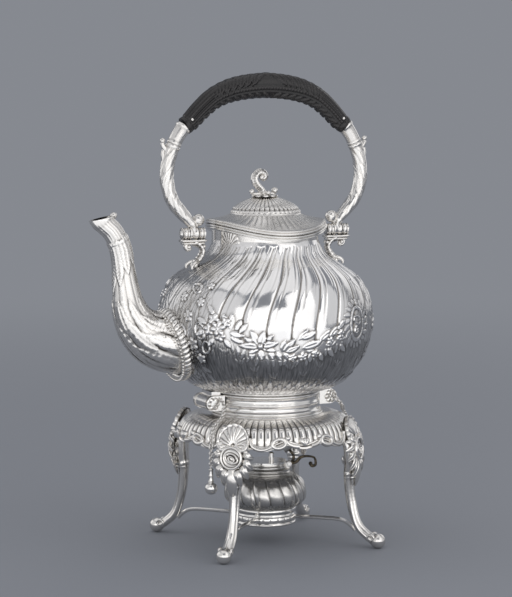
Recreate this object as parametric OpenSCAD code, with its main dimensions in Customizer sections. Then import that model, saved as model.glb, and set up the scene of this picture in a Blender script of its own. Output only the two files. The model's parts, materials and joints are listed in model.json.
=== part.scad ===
// Spirit kettle on its stand. Millimetres, +Z up, the origin on the table under the stand's middle.
// The spout points to -X. Left is -Y.

/* [Stand] */
// Radius of the circle that the feet stand on
foot_circle_r = 101; // [98:0.5:106]
// Diameter of the ball at a foot
foot_d = 13; // [12:0.5:14]
// Thickness of a leg at its waist
leg_w = 7.6; // [6.5:0.1:9]
// Distance of a leg's waist from the middle of the stand
leg_waist_r = 76; // [74:0.5:78]
// Distance of a knee from the middle of the stand
knee_r = 76; // [75:0.5:78]
// Length of the fan shell on a knee
shell_l = 18.5; // [17:0.5:20]
// Width of the fan shell on a knee
shell_w = 25; // [23:0.5:27]
// Thickness of the shell on a knee
shell_t = 4; // [3:0.5:4.5]
// Radius of the round boss below the shell
boss_r = 9.8; // [9:0.1:10.5]
// Height of the apron's lower edge above the table
apron_z = 88; // [86:0.5:90]
// Height of the apron from its edge to the collar
apron_h = 25; // [24:0.5:26]
// Radius of the apron at its edge
apron_r = 76; // [75:0.5:77]
// Thickness of the apron's metal
apron_wall = 1.6; // [1.2:0.1:2]
// Number of scallops round the apron's edge
scallops = 24; // [16:4:32]
// Outer radius of the collar that carries the kettle
collar_r = 46; // [45:0.5:47]
// Height of the collar
collar_h = 18; // [16:0.5:20]
// Thickness of the collar's wall
collar_wall = 2; // [1.6:0.1:3]

/* [Lamp ring] */
// Outer radius of the ring that holds the lamp
ring_r = 26.6; // [26:0.1:28]
// Thickness of the lamp ring's wall
ring_wall = 2.2; // [1.6:0.1:3]
// Height of the lamp ring's lower edge above the table
ring_z = 16; // [14:0.5:18]
// Height of the lamp ring
ring_h = 14.5; // [13:0.5:16]
// Diameter of a stretcher rod
stretcher_d = 3.6; // [3:0.1:4.5]

/* [Kettle] */
// Largest radius of the kettle's body
body_r = 91.5; // [88:0.5:93]
// Height of the body from its base to its neck
body_h = 113; // [110:0.5:118]
// Thickness of the kettle's metal
body_wall = 1.4; // [1:0.1:2]
// Outer radius of the neck
neck_r = 44.6; // [43.5:0.1:45.5]
// Height of the neck
neck_h = 19.5; // [18:0.5:22]
// Outer radius of the mouldings at the rim and at the lid's edge
rim_r = 51.4; // [50:0.1:52]
// Height of the rim moulding
rim_h = 4.1; // [3.5:0.1:5]
// Height of the foot ring under the body
kettle_foot_h = 2; // [1.5:0.1:3]
// Number of flutes round the shoulder
flutes = 27; // [21:1:33]
// Height of a flute's ridge above the metal beside it
flute_h = 1.3; // [0.8:0.1:1.8]
// Angle that a flute turns through on its way down
flute_swing = 21.5; // [15:0.5:25]
// Radius of the spout where it leaves the body
spout_root_r = 27; // [25:0.5:28]
// Radius of the spout at its mouth
spout_mouth_r = 8; // [7:0.5:9]
// Thickness of the spout's metal
spout_wall = 1.3; // [1:0.1:1.8]
// Thickness of the gadrooned ring at the spout's root
spout_ring_d = 6; // [5:0.5:7]

/* [Lid] */
// Height of the lid from its lower face to the top of the dome
lid_h = 26; // [24:0.5:28]
// Radius of the seam between the lid's flare and its dome
lid_seam_r = 29.5; // [28:0.5:31]
// Thickness of the lid's metal
lid_wall = 1.2; // [1:0.1:1.6]
// Depth of the ring under the lid that enters the neck
bezel_h = 5; // [3:0.5:5]
// Height of the finial's scroll above the dome
finial_h = 22; // [20:0.5:24]
// Diameter of the lid's hinge barrel
lid_barrel_d = 3.6; // [3.2:0.1:4]
// Diameter of the lid's hinge pin
lid_pin_d = 1.6; // [1.4:0.1:1.8]

/* [Bail] */
// Distance of each bail joint from the middle of the kettle
bail_joint_x = 67.3; // [66.5:0.1:68]
// Height of the bail's pivot line above the kettle's rim
bail_joint_drop = 3.1; // [2.5:0.1:4]
// Diameter of the bail joint's barrel
bail_barrel_d = 10; // [9:0.5:11]
// Length of a bail joint from end to end
bail_barrel_l = 20.6; // [19.6:0.2:22]
// Diameter of a bail pivot pin
bail_pin_d = 3.8; // [3.4:0.1:4.2]
// Half width of the bail, to the middle of its arms
bail_half_w = 90.8; // [89:0.2:92]
// Height of the bail from its pivot line to the middle of the grip
bail_h = 122.9; // [118:0.5:126]
// Thickness of a bail arm
bail_arm_t = 12.4; // [11:0.2:13]
// Thickness of the grip at its middle
grip_t = 21; // [18:0.5:22]

/* [Hinge and lock] */
// Distance of the pouring hinge's axis from the middle of the stand
tilt_x = 55; // [54:0.5:56]
// Depth of the pouring hinge's axis below the top of the collar
tilt_drop = 7.5; // [7:0.1:8]
// Diameter of the pouring hinge's rod
tilt_rod_d = 4; // [3.5:0.1:4.5]
// Width of the hinge block across the two ears
ear_span = 29; // [27:0.5:31]
// Thickness of an ear
ear_t = 4; // [3.5:0.1:4.5]
// Diameter of the kettle's knuckle between the ears
knuckle_d = 12; // [11:0.5:12]
// Wire diameter of a chain link
chain_wire = 0.9; // [0.7:0.1:1]
// Mean diameter of a chain link
chain_link_d = 3.2; // [3:0.1:3.4]
// Diameter of a locking pin's shaft
lock_pin_d = 4; // [3.5:0.1:4.5]
// Length of a locking pin's shaft
lock_pin_l = 12; // [10:0.5:14]
// Diameter of the ball on a locking pin
lock_ball_d = 10.5; // [9:0.5:11]

/* [Lamp] */
// Largest radius of the lamp's reservoir
lamp_r = 35; // [34:0.2:37]
// Height of the reservoir above the lamp ring, to the burner plate
lamp_h = 37.5; // [36:0.5:39]
// Thickness of the lamp's metal
lamp_wall = 1.2; // [1:0.1:1.6]
// Radius of the lamp's collar
lamp_collar_r = 17.4; // [17:0.1:18.5]
// Diameter of the wick tube
wick_tube_d = 4.8; // [4.4:0.1:5.4]
// Height of the wick tube above the burner plate
wick_tube_h = 6.2; // [5:0.2:7]
// Distance of the wick from the lamp's middle, towards the snuffer
wick_x = 5; // [4:0.5:5]
// Distance of the snuffer's hinge from the lamp's middle
snuffer_x = 20.4; // [20:0.2:21]
// Outer radius of the snuffer's cap
snuffer_r = 6.6; // [6.2:0.1:7]
// Height of the snuffer's cap
snuffer_h = 9.6; // [9.4:0.1:11]
// Angle that the snuffer stands open
snuffer_open = 55; // [40:1:65]
// Direction that the lamp is turned to in its ring
lamp_turn = -25; // [-40:1:-10]

/* [Fits] */
// Radial clearance of a pin that turns in its bore
pin_fit = 0.05; // [0.03:0.01:0.08]
// Gap between faces that move past each other
face_gap = 0.3; // [0.2:0.05:0.5]
// Radial clearance of rings that drop into one another
ring_fit = 0.3; // [0.2:0.05:0.5]

/* [Hidden] */

$fn = 96;
silver = "silver";
ebony = "#2a2624";

// Directions of the four legs, counted from +X
LEG_FRONT_LEFT = -135;
LEG_FRONT_RIGHT = 135;
LEG_REAR_LEFT = -45;
LEG_REAR_RIGHT = 45;

// Heights that pieces share
collar_z = apron_z + apron_h;
stand_top = collar_z + collar_h;
body_z = stand_top + kettle_foot_h;
neck_z = body_z + body_h;
rim_z = neck_z + neck_h;
rim_top = rim_z + rim_h;
lid_z = rim_top + face_gap;
dome_top = lid_z + lid_h;
ring_top = ring_z + ring_h;
plate_z = ring_top + lamp_h;
tilt_z = stand_top - tilt_drop;
bail_z = rim_top - bail_joint_drop;
lid_hinge_x = rim_r + 0.4 + lid_barrel_d / 2;

// Radii inside one another
neck_in_r = neck_r - body_wall;
bezel_r = neck_in_r - ring_fit;
foot_in_r = collar_r - collar_wall - 2;
ear_gap = ear_span / 2 - ear_t;

// Steps of a curve between two of its points, and sides of a swept piece
CURVE_STEPS = 3;
SIDES = 12;

// A smooth curve through the knots, by the Catmull-Rom rule
function blend(a, b, c, d, t) =
    0.5 * (2 * b + (c - a) * t + (2 * a - 5 * b + 4 * c - d) * t * t + (3 * b - a - 3 * c + d) * t * t * t);
function smooth(knots, steps = CURVE_STEPS) = let (last = len(knots) - 1) [
    for (i = [0:last - 1]) for (j = [0:steps - 1])
        blend(knots[max(i - 1, 0)], knots[i], knots[i + 1], knots[min(i + 2, last)], j / steps),
    knots[last]
];

// Direction of a path at one of its points, and the same path moved sideways by w
function direction(p, i) = let (
    a = p[max(i - 1, 0)], b = p[min(i + 1, len(p) - 1)], d = [b[0] - a[0], b[1] - a[1]]
) d / norm(d);
function inset(p, w) = [for (i = [0:len(p) - 1]) let (d = direction(p, i)) [p[i][0] - d[1] * w,
    p[i][1] + d[0] * w]];
function backwards(p) = [for (i = [len(p) - 1:-1:0]) p[i]];

// Points of the rings along a path in the XZ plane. A knot is [x, z, half height, half width].
function rings(p, wall, sides) = [for (i = [0:len(p) - 1]) for (k = [0:sides - 1]) let (
    d = direction(p, i), a = 360 * k / sides, u = (p[i][2] - wall) * cos(a)
) [p[i][0] - d[1] * u, (p[i][3] - wall) * sin(a), p[i][1] + d[0] * u]];
function side_faces(n, sides, first,
    flip) = [for (i = [0:n - 2]) for (k = [0:sides - 1]) for (half = [0:1]) let (
    a = first + i * sides + k, b = first + i * sides + (k + 1) % sides,
    face = half == 0 ? [a, b, b + sides] : [a, b + sides, a + sides]
) flip ? backwards(face) : face];

// A solid swept along a path in the XZ plane
module swept(p, sides = SIDES) {
    n = len(p);
    caps = [
        for (k = [1:sides - 2]) [0, k + 1, k],
        for (k = [1:sides - 2]) [(n - 1) * sides, (n - 1) * sides + k, (n - 1) * sides + k + 1]
    ];
    polyhedron(rings(p, 0, sides), concat(side_faces(n, sides, 0, false), caps));
}

// A tube swept along a path in the XZ plane from one of its points to another, open at both ends
module swept_tube(p, wall, sides, first, last) {
    n = last - first + 1;
    inner = n * sides;
    stretch = [first * sides:(last + 1) * sides - 1];
    outside = rings(p, 0, sides);
    inside = rings(p, wall, sides);
    ends = [for (k = [0:sides - 1]) for (end = [0:1]) for (half = [0:1]) let (
        k2 = (k + 1) % sides, base = end * (n - 1) * sides,
        face = half == 0 ? [base + k, inner + base + k, inner + base + k2] : [base + k, inner + base + k2,
            base + k2]
    ) end == 0 ? face : backwards(face)];
    polyhedron(
        concat([for (i = stretch) outside[i]], [for (i = stretch) inside[i]]),
        concat(side_faces(n, sides, 0, false), side_faces(n, sides, inner, true), ends)
    );
}

// A cylinder of radius r from one place to another along X or Y
module bar_x(r, from, to) {
    translate([from, 0, 0]) rotate([0, 90, 0]) cylinder(r = r, h = to - from);
}
module bar_y(r, from, to) {
    translate([0, from, 0]) rotate([-90, 0, 0]) cylinder(r = r, h = to - from);
}

// A round link chain along a route of points. Each link stands square to the one before it.
function route_length(p, i = 0) = i >= len(p) - 1 ? 0 : norm(p[i + 1] - p[i]) + route_length(p, i + 1);
function route_at(p, s, i = 0) = let (step = norm(p[i + 1] - p[i]))
    s <= step || i >= len(p) - 2 ? [p[i] + (p[i + 1] - p[i]) * s / step,
        (p[i + 1] - p[i]) / step] : route_at(p, s - step, i + 1);
chain_pitch = chain_link_d - 1.15 * chain_wire;
module chain(p) {
    for (i = [0:floor(route_length(p) / chain_pitch)]) {
        at = route_at(p, i * chain_pitch);
        translate(at[0])
            rotate([0, acos(at[1][2]), atan2(at[1][1], at[1][0])])
            rotate([90, 0, i % 2 == 0 ? 0 : 90])
            link();
    }
}

// The stand

module stand_collar() {
    inner = collar_r - collar_wall;
    color(silver) rotate_extrude() polygon([
        [inner, collar_z], [collar_r + 1.6, collar_z], [collar_r + 0.6, collar_z + 2],
        [collar_r - 1, collar_z + 3.6], [collar_r, collar_z + 5.2], [collar_r, stand_top], [inner, stand_top]
    ]);
}

function apron_outline() = smooth([
    [collar_r + 2, collar_z], [collar_r + 10, collar_z - 0.6], [apron_r - 12, collar_z - 2.8],
    [apron_r - 5.5, collar_z - 6.5], [apron_r - 2, collar_z - 12], [apron_r - 1.4, apron_z + 7],
    [apron_r, apron_z]
]);

module stand_apron() {
    outer = apron_outline();
    top_in = collar_r - collar_wall;
    scallop_r = PI * apron_r / scallops * 0.8;
    color(silver) difference() {
        rotate_extrude() polygon(concat(
            outer, backwards(inset(outer, -apron_wall)), [[top_in, collar_z - apron_wall], [top_in, collar_z]]
        ));
        for (i = [0:scallops - 1])
            rotate([0, 0, (i + 0.5) * 360 / scallops])
            translate([apron_r - 8, 0, apron_z - scallop_r * 0.62])
            rotate([0, 90, 0])
            cylinder(r = scallop_r, h = 14, $fn = 32);
    }
}

foot_r = foot_d / 2;
foot_z = foot_r - 0.3;
shell_z = apron_z + 5;
shell_out = -0.5;
shell_lean = 72;
boss_z = apron_z - 3.3;
boss_lean = 84;
boss_t = 4;

// A leg in its own plane: from under the apron over the knee and the waist to the foot
function leg_path() = smooth([
    [apron_r - 11, collar_z - 10, 3.5, 4.5], [apron_r - 7, apron_z + 9, 5, 6],
    [knee_r, apron_z - 1, 5.6, 6.6],
    [knee_r + 0.5, apron_z - 14, leg_w * 0.66, leg_w * 0.74],
    [leg_waist_r - 1, apron_z - 28, leg_w * 0.53, leg_w * 0.55],
    [leg_waist_r, 46, leg_w / 2, leg_w / 2], [leg_waist_r + 2.5, 32, leg_w * 0.47, leg_w / 2],
    [foot_circle_r - 17.5, 18, leg_w * 0.45, leg_w * 0.55],
    [foot_circle_r - 9, 9.6, leg_w * 0.45, leg_w * 0.64],
    [foot_circle_r - 3, foot_z + 0.2, 4, 5.6]
]);

module leg(direction) {
    flat = sqrt(foot_r * foot_r - foot_z * foot_z);
    start = -asin(foot_z / foot_r);
    color(silver) rotate([0, 0, direction]) {
        swept(leg_path());
        translate([foot_circle_r, 0, foot_z]) rotate_extrude($fn = 48)
            polygon(concat([[0, -foot_z]], [for (i = [0:16])
                let (a = start + (90 - start) * i / 16) [i == 16 ? 0 : foot_r * cos(a), foot_r * sin(a)]]));
    }
}
module leg_front_left() leg(LEG_FRONT_LEFT);
module leg_front_right() leg(LEG_FRONT_RIGHT);
module leg_rear_left() leg(LEG_REAR_LEFT);
module leg_rear_right() leg(LEG_REAR_RIGHT);

// A fan shell that leans on the apron, with a round boss below it on the knee's face
module knee_shell(direction) {
    scallops = 9;
    steps = scallops * 6;
    rim = [for (i = [0:steps]) let (a = -90 + 180 * i / steps,
        cut = 1 - 0.05 * (1 - abs(sin(180 * scallops * i / steps))))
        [shell_l * cos(a) * cut, shell_w / 2 * sin(a) * cut]];
    color(silver) rotate([0, 0, direction]) {
        translate([knee_r + shell_out, 0, shell_z]) rotate([0, shell_lean, 0]) rotate([0, 0, 180])
            linear_extrude(shell_t) polygon(concat(rim, [[-3, 0]]));
        translate([knee_r + 1.6, 0, boss_z]) rotate([0, boss_lean, 0])
            cylinder(r = boss_r, h = boss_t, $fn = 48);
    }
}
module knee_shell_front_left() knee_shell(LEG_FRONT_LEFT);
module knee_shell_front_right() knee_shell(LEG_FRONT_RIGHT);
module knee_shell_rear_left() knee_shell(LEG_REAR_LEFT);
module knee_shell_rear_right() knee_shell(LEG_REAR_RIGHT);

stretcher_z = ring_top - 8;
module stretcher(direction) {
    half = stretcher_d / 2;
    color(silver) rotate([0, 0, direction]) swept(smooth([
        [ring_r - 1.2, stretcher_z, half, half], [leg_waist_r - 18, stretcher_z + 0.4, half, half],
        [leg_waist_r - 6, stretcher_z - 0.6, half, half], [leg_waist_r + 1, stretcher_z - 4.5, half, half],
        [foot_circle_r - 20, stretcher_z - 8.5, half, half]
    ]), 10);
}
module stretcher_front_left() stretcher(LEG_FRONT_LEFT);
module stretcher_front_right() stretcher(LEG_FRONT_RIGHT);
module stretcher_rear_left() stretcher(LEG_REAR_LEFT);
module stretcher_rear_right() stretcher(LEG_REAR_RIGHT);

module lamp_ring() {
    inner = ring_r - ring_wall;
    color(silver) rotate_extrude() polygon([
        [inner - 2, ring_z], [ring_r - 0.8, ring_z], [ring_r, ring_z + 1.2], [ring_r - 0.8, ring_z + 3],
        [ring_r - 0.8, ring_top - 4],
        [ring_r, ring_top - 2.6], [ring_r, ring_top], [inner, ring_top], [inner, ring_z + 1.6],
        [inner - 2, ring_z + 1.6]
    ]);
}

// Two ears on the collar's wall, with a bore for a pin along Y. The same casting serves front and rear.
ear_h = 13;
module ears(bore_r) {
    reach = tilt_x + knuckle_d / 2;
    color(silver) difference() {
        for (side = [-1, 1])
            translate([0, side * (ear_span / 2 - ear_t / 2), tilt_z]) {
                translate([collar_r - 8, -ear_t / 2, -ear_h / 2]) cube([tilt_x - collar_r + 8, ear_t, ear_h]);
                translate([tilt_x, 0, 0]) bar_y(ear_h / 2, -ear_t / 2, ear_t / 2);
            }
        translate([0, 0, collar_z]) cylinder(r = collar_r, h = collar_h * 2);
        translate([tilt_x, 0, tilt_z]) bar_y(bore_r, -reach, reach);
    }
}
module front_hinge_ears() {
    mirror([1, 0, 0]) ears(tilt_rod_d / 2);
    color(silver) translate(front_staple) link();
}
module rear_lock_ears() {
    ears(lock_pin_d / 2 + pin_fit);
    color(silver) translate(rear_staple) link();
}

module front_hinge_rod() {
    head = 1.6;
    color(silver) translate([-tilt_x, 0, tilt_z]) {
        bar_y(tilt_rod_d / 2, -ear_span / 2, ear_span / 2);
        bar_y(tilt_rod_d * 0.75, -ear_span / 2 - head, -ear_span / 2);
        bar_y(tilt_rod_d * 0.75, ear_span / 2, ear_span / 2 + head);
    }
}

// Places round the stand: r out from the middle, turned to direction a, at height z
function polar(r, a, z) = [r * cos(a), r * sin(a), z];

// The chains run from a staple on an ear, over the apron and down past its edge
chain_clear = chain_link_d / 2 + chain_wire;
FRONT_HANG = -150;
REAR_HANG = 0;
front_hang_z = apron_z - 11;
rear_hang_z = apron_z - 4;
staple_y = -ear_span / 2 - 0.3;
front_staple = [-tilt_x + 6, staple_y, tilt_z + 3];
rear_staple = [tilt_x + 2, staple_y, tilt_z + 4];
first_link = [0, -chain_link_d / 2 - 0.4, 0];
front_chain_route = [
    front_staple + first_link, [-tilt_x + 6, -ear_span / 2 - 9, collar_z + 9.5],
    polar(apron_r - 14.5, FRONT_HANG - 1, collar_z + 1.6), polar(apron_r - 6, FRONT_HANG, collar_z - 2.2),
    polar(apron_r + 0.6, FRONT_HANG, collar_z - 8), polar(apron_r + chain_clear, FRONT_HANG, collar_z - 14),
    polar(apron_r + chain_clear + 0.8, FRONT_HANG, apron_z + 4),
        polar(apron_r + chain_clear + 0.8, FRONT_HANG, front_hang_z)
];
rear_chain_route = [
    rear_staple + first_link, [tilt_x + 2.5, -ear_span / 2 - 6.5, tilt_z - 1.5],
        [tilt_x + 9, -ear_span / 2 - 5, collar_z + 3],
    polar(apron_r - 4.4, REAR_HANG - 5, collar_z - 3), polar(apron_r + 1, REAR_HANG, collar_z - 8.5),
    polar(apron_r + chain_clear, REAR_HANG, collar_z - 14),
        polar(apron_r + chain_clear + 0.8, REAR_HANG, apron_z + 4),
    polar(apron_r + chain_clear + 0.8, REAR_HANG, rear_hang_z)
];

// One round link of the chain, also the staple's wire
module link() {
    rotate_extrude($fn = 24) translate([chain_link_d / 2, 0]) circle(d = chain_wire, $fn = 16);
}
module front_chain() {
    color(silver) chain(front_chain_route);
}
module rear_chain() {
    color(silver) chain(rear_chain_route);
}

// A locking pin hangs from its chain's last link: an eye, a turned shaft and a ball
module lock_pin(route) {
    last = floor(route_length(route) / chain_pitch);
    eye_z = -chain_pitch;
    shaft_z = eye_z - chain_link_d / 2;
    color(silver) translate(route_at(route, last * chain_pitch)[0]) {
        translate([0, 0, eye_z]) rotate([90, 0, last % 2 == 0 ? 90 : 0]) link();
        translate([0, 0, shaft_z - lock_pin_l]) cylinder(d = lock_pin_d, h = lock_pin_l, $fn = 32);
        translate([0, 0, shaft_z - lock_pin_l - lock_ball_d / 2 + 0.6]) sphere(d = lock_ball_d, $fn = 48);
    }
}
module front_lock_pin() lock_pin(front_chain_route);
module rear_lock_pin() lock_pin(rear_chain_route);

// The kettle

function body_outline() = concat([[0, body_z]], smooth([
    [collar_r + 4, body_z], [collar_r + 11, body_z + 1.6], [body_r - 24, body_z + 7.5],
    [body_r - 14.8, body_z + 17],
    [body_r - 6.6, body_z + 30], [body_r - 1.4, body_z + 46], [body_r - flute_h * 0.9, body_z + 60],
    [body_r - 1.8 - flute_h, body_z + body_h - 38], [body_r - 6.8 - flute_h * 0.9, body_z + body_h - 26.4],
    [body_r - 14.5 - flute_h * 0.75, body_z + body_h - 16.5 - flute_h * 0.6],
    [neck_r + 20.5 - flute_h * 0.5, body_z + body_h - 8.5 - flute_h * 0.85],
    [neck_r + 8 - flute_h * 0.3, body_z + body_h - 3.5 - flute_h * 0.9], [neck_r + 1, neck_z - 0.6],
    [neck_r, neck_z]
]));

// The spout's root: a ring on the body's wall, leaning out and down
spout_root = [-body_r + 6.5, body_z + 41];
spout_lean = 15.8;

// The body is raised in two parts, which meet at a seam above the spout's hole
seam_z = body_z + 67;
function r_at(p, z, i = 0) = p[i + 1][1] >= z || i >= len(p) - 2 ?
    p[i][0] + (p[i + 1][0] - p[i][0]) * (z - p[i][1]) / (p[i + 1][1] - p[i][1]) : r_at(p, z, i + 1);
function below_seam(p) = concat([for (q = p) if (q[1] < seam_z) q], [[r_at(p, seam_z), seam_z]]);
function above_seam(p) = concat([[r_at(p, seam_z), seam_z]], [for (q = p) if (q[1] > seam_z) q]);

module kettle_body() {
    outer = body_outline();
    wall_in = inset(outer, body_wall);
    inner = [for (i = [1:len(wall_in) - 2]) wall_in[i]];
    color(silver) difference() {
        rotate_extrude($fn = 128)
            polygon(concat(below_seam(outer), backwards(below_seam(inner)), [[0, body_z + body_wall]]));
        translate([spout_root[0], 0, spout_root[1]]) rotate([0, -90 - spout_lean, 0])
            translate([0, 0, -16]) cylinder(r = spout_root_r - 4, h = 32);
    }
}

module kettle_shoulder() {
    outer = body_outline();
    wall_in = inset(outer, body_wall);
    inner = [for (i = [1:len(wall_in) - 2]) wall_in[i]];
    color(silver) rotate_extrude($fn = 128)
        polygon(concat(above_seam(outer), [[neck_in_r, neck_z]], backwards(above_seam(inner))));
}

// Flutes: lobes that stand on the shoulder and lean to one side below.
// Those over the spout begin above its collar.
flute_low = body_z + 45;
flute_high = neck_z - 3.5;
flute_sunk = 0.4;
flute_pitch = 360 / flutes;
FLUTE_SHAPE = [[0.98, -1], [0.72, 0.6], [0, 1], [-0.72, 0.6], [-0.98, -1]];
function flute_turn(z) = let (u = (z - body_z - 52) / (neck_z + 7 - body_z - 52))
    flute_swing * (1 - pow(max(u, 0), 2));
function flute_rows(low) = let (p = body_outline())
    [for (i = [0:2:len(p) - 1]) if (p[i][1] > low && p[i][1] < flute_high) concat(p[i], direction(p, i))];
function flute_rise(k, last) = flute_h * sqrt(sin(180 * min(0.5, 0.2 * k, (last - k) / 3)));
function flute_lift(share, rise) = share < 0 ? -flute_sunk : rise > 0 ? share * rise : -flute_sunk * 0.3;
function flute_points(rows) = [for (k = [0:len(rows) - 1]) for (s = FLUTE_SHAPE) let (
    row = rows[k], lift = flute_lift(s[1], flute_rise(k, len(rows) - 1))
) polar(row[0] + row[3] * lift, s[0] * flute_pitch / 2 - flute_turn(row[1]), row[1] - row[2] * lift)];

module kettle_flutes() {
    sides = len(FLUTE_SHAPE);
    spout_side = 180 + flute_turn(body_z);
    color(silver) for (i = [0:flutes - 1]) {
        turn = (i + 0.5) * flute_pitch;
        near = abs(turn - spout_side) < 27;
        rows = flute_rows(near ? spout_root[1] + spout_root_r + spout_ring_d : flute_low);
        last = (len(rows) - 1) * sides;
        caps = [for (k = [1:sides - 2]) for (end = [0:1])
            end == 0 ? [0, k + 1, k] : [last, last + k, last + k + 1]];
        rotate([0, 0, turn]) polyhedron(flute_points(rows),
            concat(side_faces(len(rows), sides, 0, false), caps));
    }
}

module kettle_neck() {
    color(silver) translate([0, 0, neck_z]) difference() {
        cylinder(r = neck_r, h = neck_h);
        translate([0, 0, -1]) cylinder(r = neck_in_r, h = neck_h + 2);
    }
}

module kettle_rim() {
    color(silver) rotate_extrude() polygon([
        [neck_in_r, rim_z], [neck_r + 1, rim_z], [rim_r - 2, rim_z + 0.6], [rim_r, rim_z + 2],
        [rim_r, rim_z + 3], [rim_r - 1, rim_top], [neck_in_r, rim_top]
    ]);
}

module kettle_foot() {
    color(silver) rotate_extrude() polygon([
        [foot_in_r, stand_top], [collar_r, stand_top], [collar_r + 3, body_z], [foot_in_r, body_z]
    ]);
}

// The spout rises from a deep bulge to a narrow throat and leans out to a beaked mouth
function spout_path() = let (x = spout_root[0], z = spout_root[1], r = spout_root_r,
    m = spout_mouth_r) smooth([
    [x + 7, z + 1, r, r - 2], [x - 7, z + 3, r - 1, r - 3.5], [x - 21, z + 8, r - 4, r - 6.5],
    [x - 33, z + 18, r - 8.8, r - 10], [x - 40, z + 32, 14.5, 13.6], [x - 42.6, z + 48, 11.5, 11],
    [x - 45, z + 69, 9.2, 8.8], [x - 48, z + 84, 9, 8.4], [x - 54, z + 95.5, m + 0.8, m],
    [x - 60, z + 101.5, m + 0.8, m - 0.4], [x - 62.6, z + 104.6, m + 1.8, m - 0.8],
    [x - 63.4, z + 107.4, m + 2.8, m - 1.2]
], spout_steps);
spout_steps = 2;
spout_sides = 24;

// The lower part is fitted round the body, and the upper one joins it at this ring, below the wrap of leaves
spout_joint = 5 * spout_steps;

module spout() {
    color(silver) difference() {
        swept_tube(spout_path(), spout_wall, spout_sides, 0, spout_joint);
        rotate_extrude($fn = 128) polygon(concat(body_outline(), [[0, neck_z]]));
    }
}

module spout_beak() {
    p = spout_path();
    color(silver) swept_tube(p, spout_wall, spout_sides, spout_joint, len(p) - 1);
}

module spout_collar() {
    color(silver) translate([spout_root[0] - 1.5, 0, spout_root[1]]) rotate([0, -90 - spout_lean, 0])
        rotate_extrude() translate([spout_root_r + spout_ring_d / 3, 0]) circle(d = spout_ring_d, $fn = 24);
}

// Half of the bail joint that the kettle carries: two lobes on a C-scroll that stands on the shoulder
bail_mid_l = 7.6;
bracket_foot_x = bail_joint_x - 3.3;
module bail_bracket() {
    outer_from = bail_joint_x + bail_mid_l / 2 + face_gap;
    inner_to = bail_joint_x - bail_mid_l / 2 - face_gap;
    low = bail_z - bail_barrel_d / 2;
    shoulder = body_z + body_h - 8 - flute_h * 0.85;
    difference() {
        union() {
            translate([0, 0, bail_z]) {
                bar_x(bail_barrel_d / 2, bail_joint_x - bail_barrel_l / 2, inner_to);
                bar_x(bail_barrel_d / 2, outer_from, bail_joint_x + bail_barrel_l / 2);
            }
            translate([bail_joint_x - bail_barrel_l / 2, -3.5, low - 1.6]) cube([bail_barrel_l, 7, 2.4]);
            swept(smooth([
                [bail_joint_x - 1, low - 0.6, 3.4, 4], [bail_joint_x - 5.6, low - 4.5, 2.6, 4],
                [bail_joint_x - 8, low - 9.5, 2.6, 4],
                [bracket_foot_x - 3, low - 14.5, 2.8, 4.4], [bracket_foot_x, shoulder, 3.4, 5]
            ]), 10);
            swept(smooth([
                [bail_joint_x + 2, low - 0.8, 2, 3], [bail_joint_x + 6.4, low - 2, 1.8, 2.8],
                [bail_joint_x + 7.2, low - 5, 1.8, 2.8],
                [bail_joint_x + 4.6, low - 6.2, 1.6, 2.6]
            ]), 10);
        }
        translate([0, 0, bail_z]) {
            bar_x(bail_pin_d / 2 + pin_fit, bail_joint_x - bail_barrel_l, bail_joint_x + bail_barrel_l);
            bar_x(bail_barrel_d / 2 + face_gap, inner_to, outer_from);
        }
    }
}
module front_bail_bracket() {
    color(silver) mirror([1, 0, 0]) bail_bracket();
}
module rear_bail_bracket() {
    color(silver) bail_bracket();
}

// The kettle's knuckle of the pouring hinge, between the stand's ears, and the tongue of the rear lock
module knuckle(bore_r, half_l) {
    difference() {
        union() {
            translate([tilt_x, 0, tilt_z]) bar_y(knuckle_d / 2, -half_l, half_l);
            translate([collar_r + 0.8, -half_l, tilt_z])
                cube([tilt_x - collar_r - 0.8, 2 * half_l, body_z - tilt_z]);
        }
        translate([tilt_x, 0, tilt_z]) bar_y(bore_r, -ear_span, ear_span);
        difference() {
            translate([collar_r - 6, -ear_span, stand_top - 0.01]) cube([knuckle_d, 2 * ear_span, knuckle_d]);
            translate([0, 0, stand_top - 1]) cylinder(r = collar_r + 30, h = kettle_foot_h + 1);
        }
        cylinder(r = collar_r + 0.8, h = stand_top);
        rotate_extrude() polygon([[0, stand_top], [collar_r, stand_top], [collar_r + 3, body_z],
            [0, body_z]]);
    }
}
module front_hinge_knuckle() {
    color(silver) mirror([1, 0, 0]) knuckle(tilt_rod_d / 2 + pin_fit, ear_gap - face_gap);
}
module rear_lock_tongue() {
    color(silver) knuckle(lock_pin_d / 2 + pin_fit, ear_gap - face_gap);
}

// The lid

module lid_barrel(from, to, bore) {
    translate([lid_hinge_x, 0, rim_top + face_gap / 2]) difference() {
        bar_y(lid_barrel_d / 2, from, to);
        bar_y(bore, from - 1, to + 1);
    }
}
lid_knuckle_l = 4;

// Two outer knuckles of the lid's hinge, each on a tab on the kettle's rim
module lid_hinge_socket() {
    color(silver) for (side = [0, 1]) mirror([0, side, 0]) {
        from = lid_knuckle_l / 2 + face_gap;
        lid_barrel(from, from + lid_knuckle_l, lid_pin_d / 2);
        difference() {
            translate([rim_r - 4, from, rim_z + 0.8])
                cube([lid_hinge_x - rim_r + 4, lid_knuckle_l, lid_barrel_d / 2 + 0.6]);
            cylinder(r = rim_r, h = dome_top);
            translate([lid_hinge_x, 0, rim_top + face_gap / 2]) bar_y(lid_barrel_d / 2 - 0.1, 0, ear_span);
        }
    }
}

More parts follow.
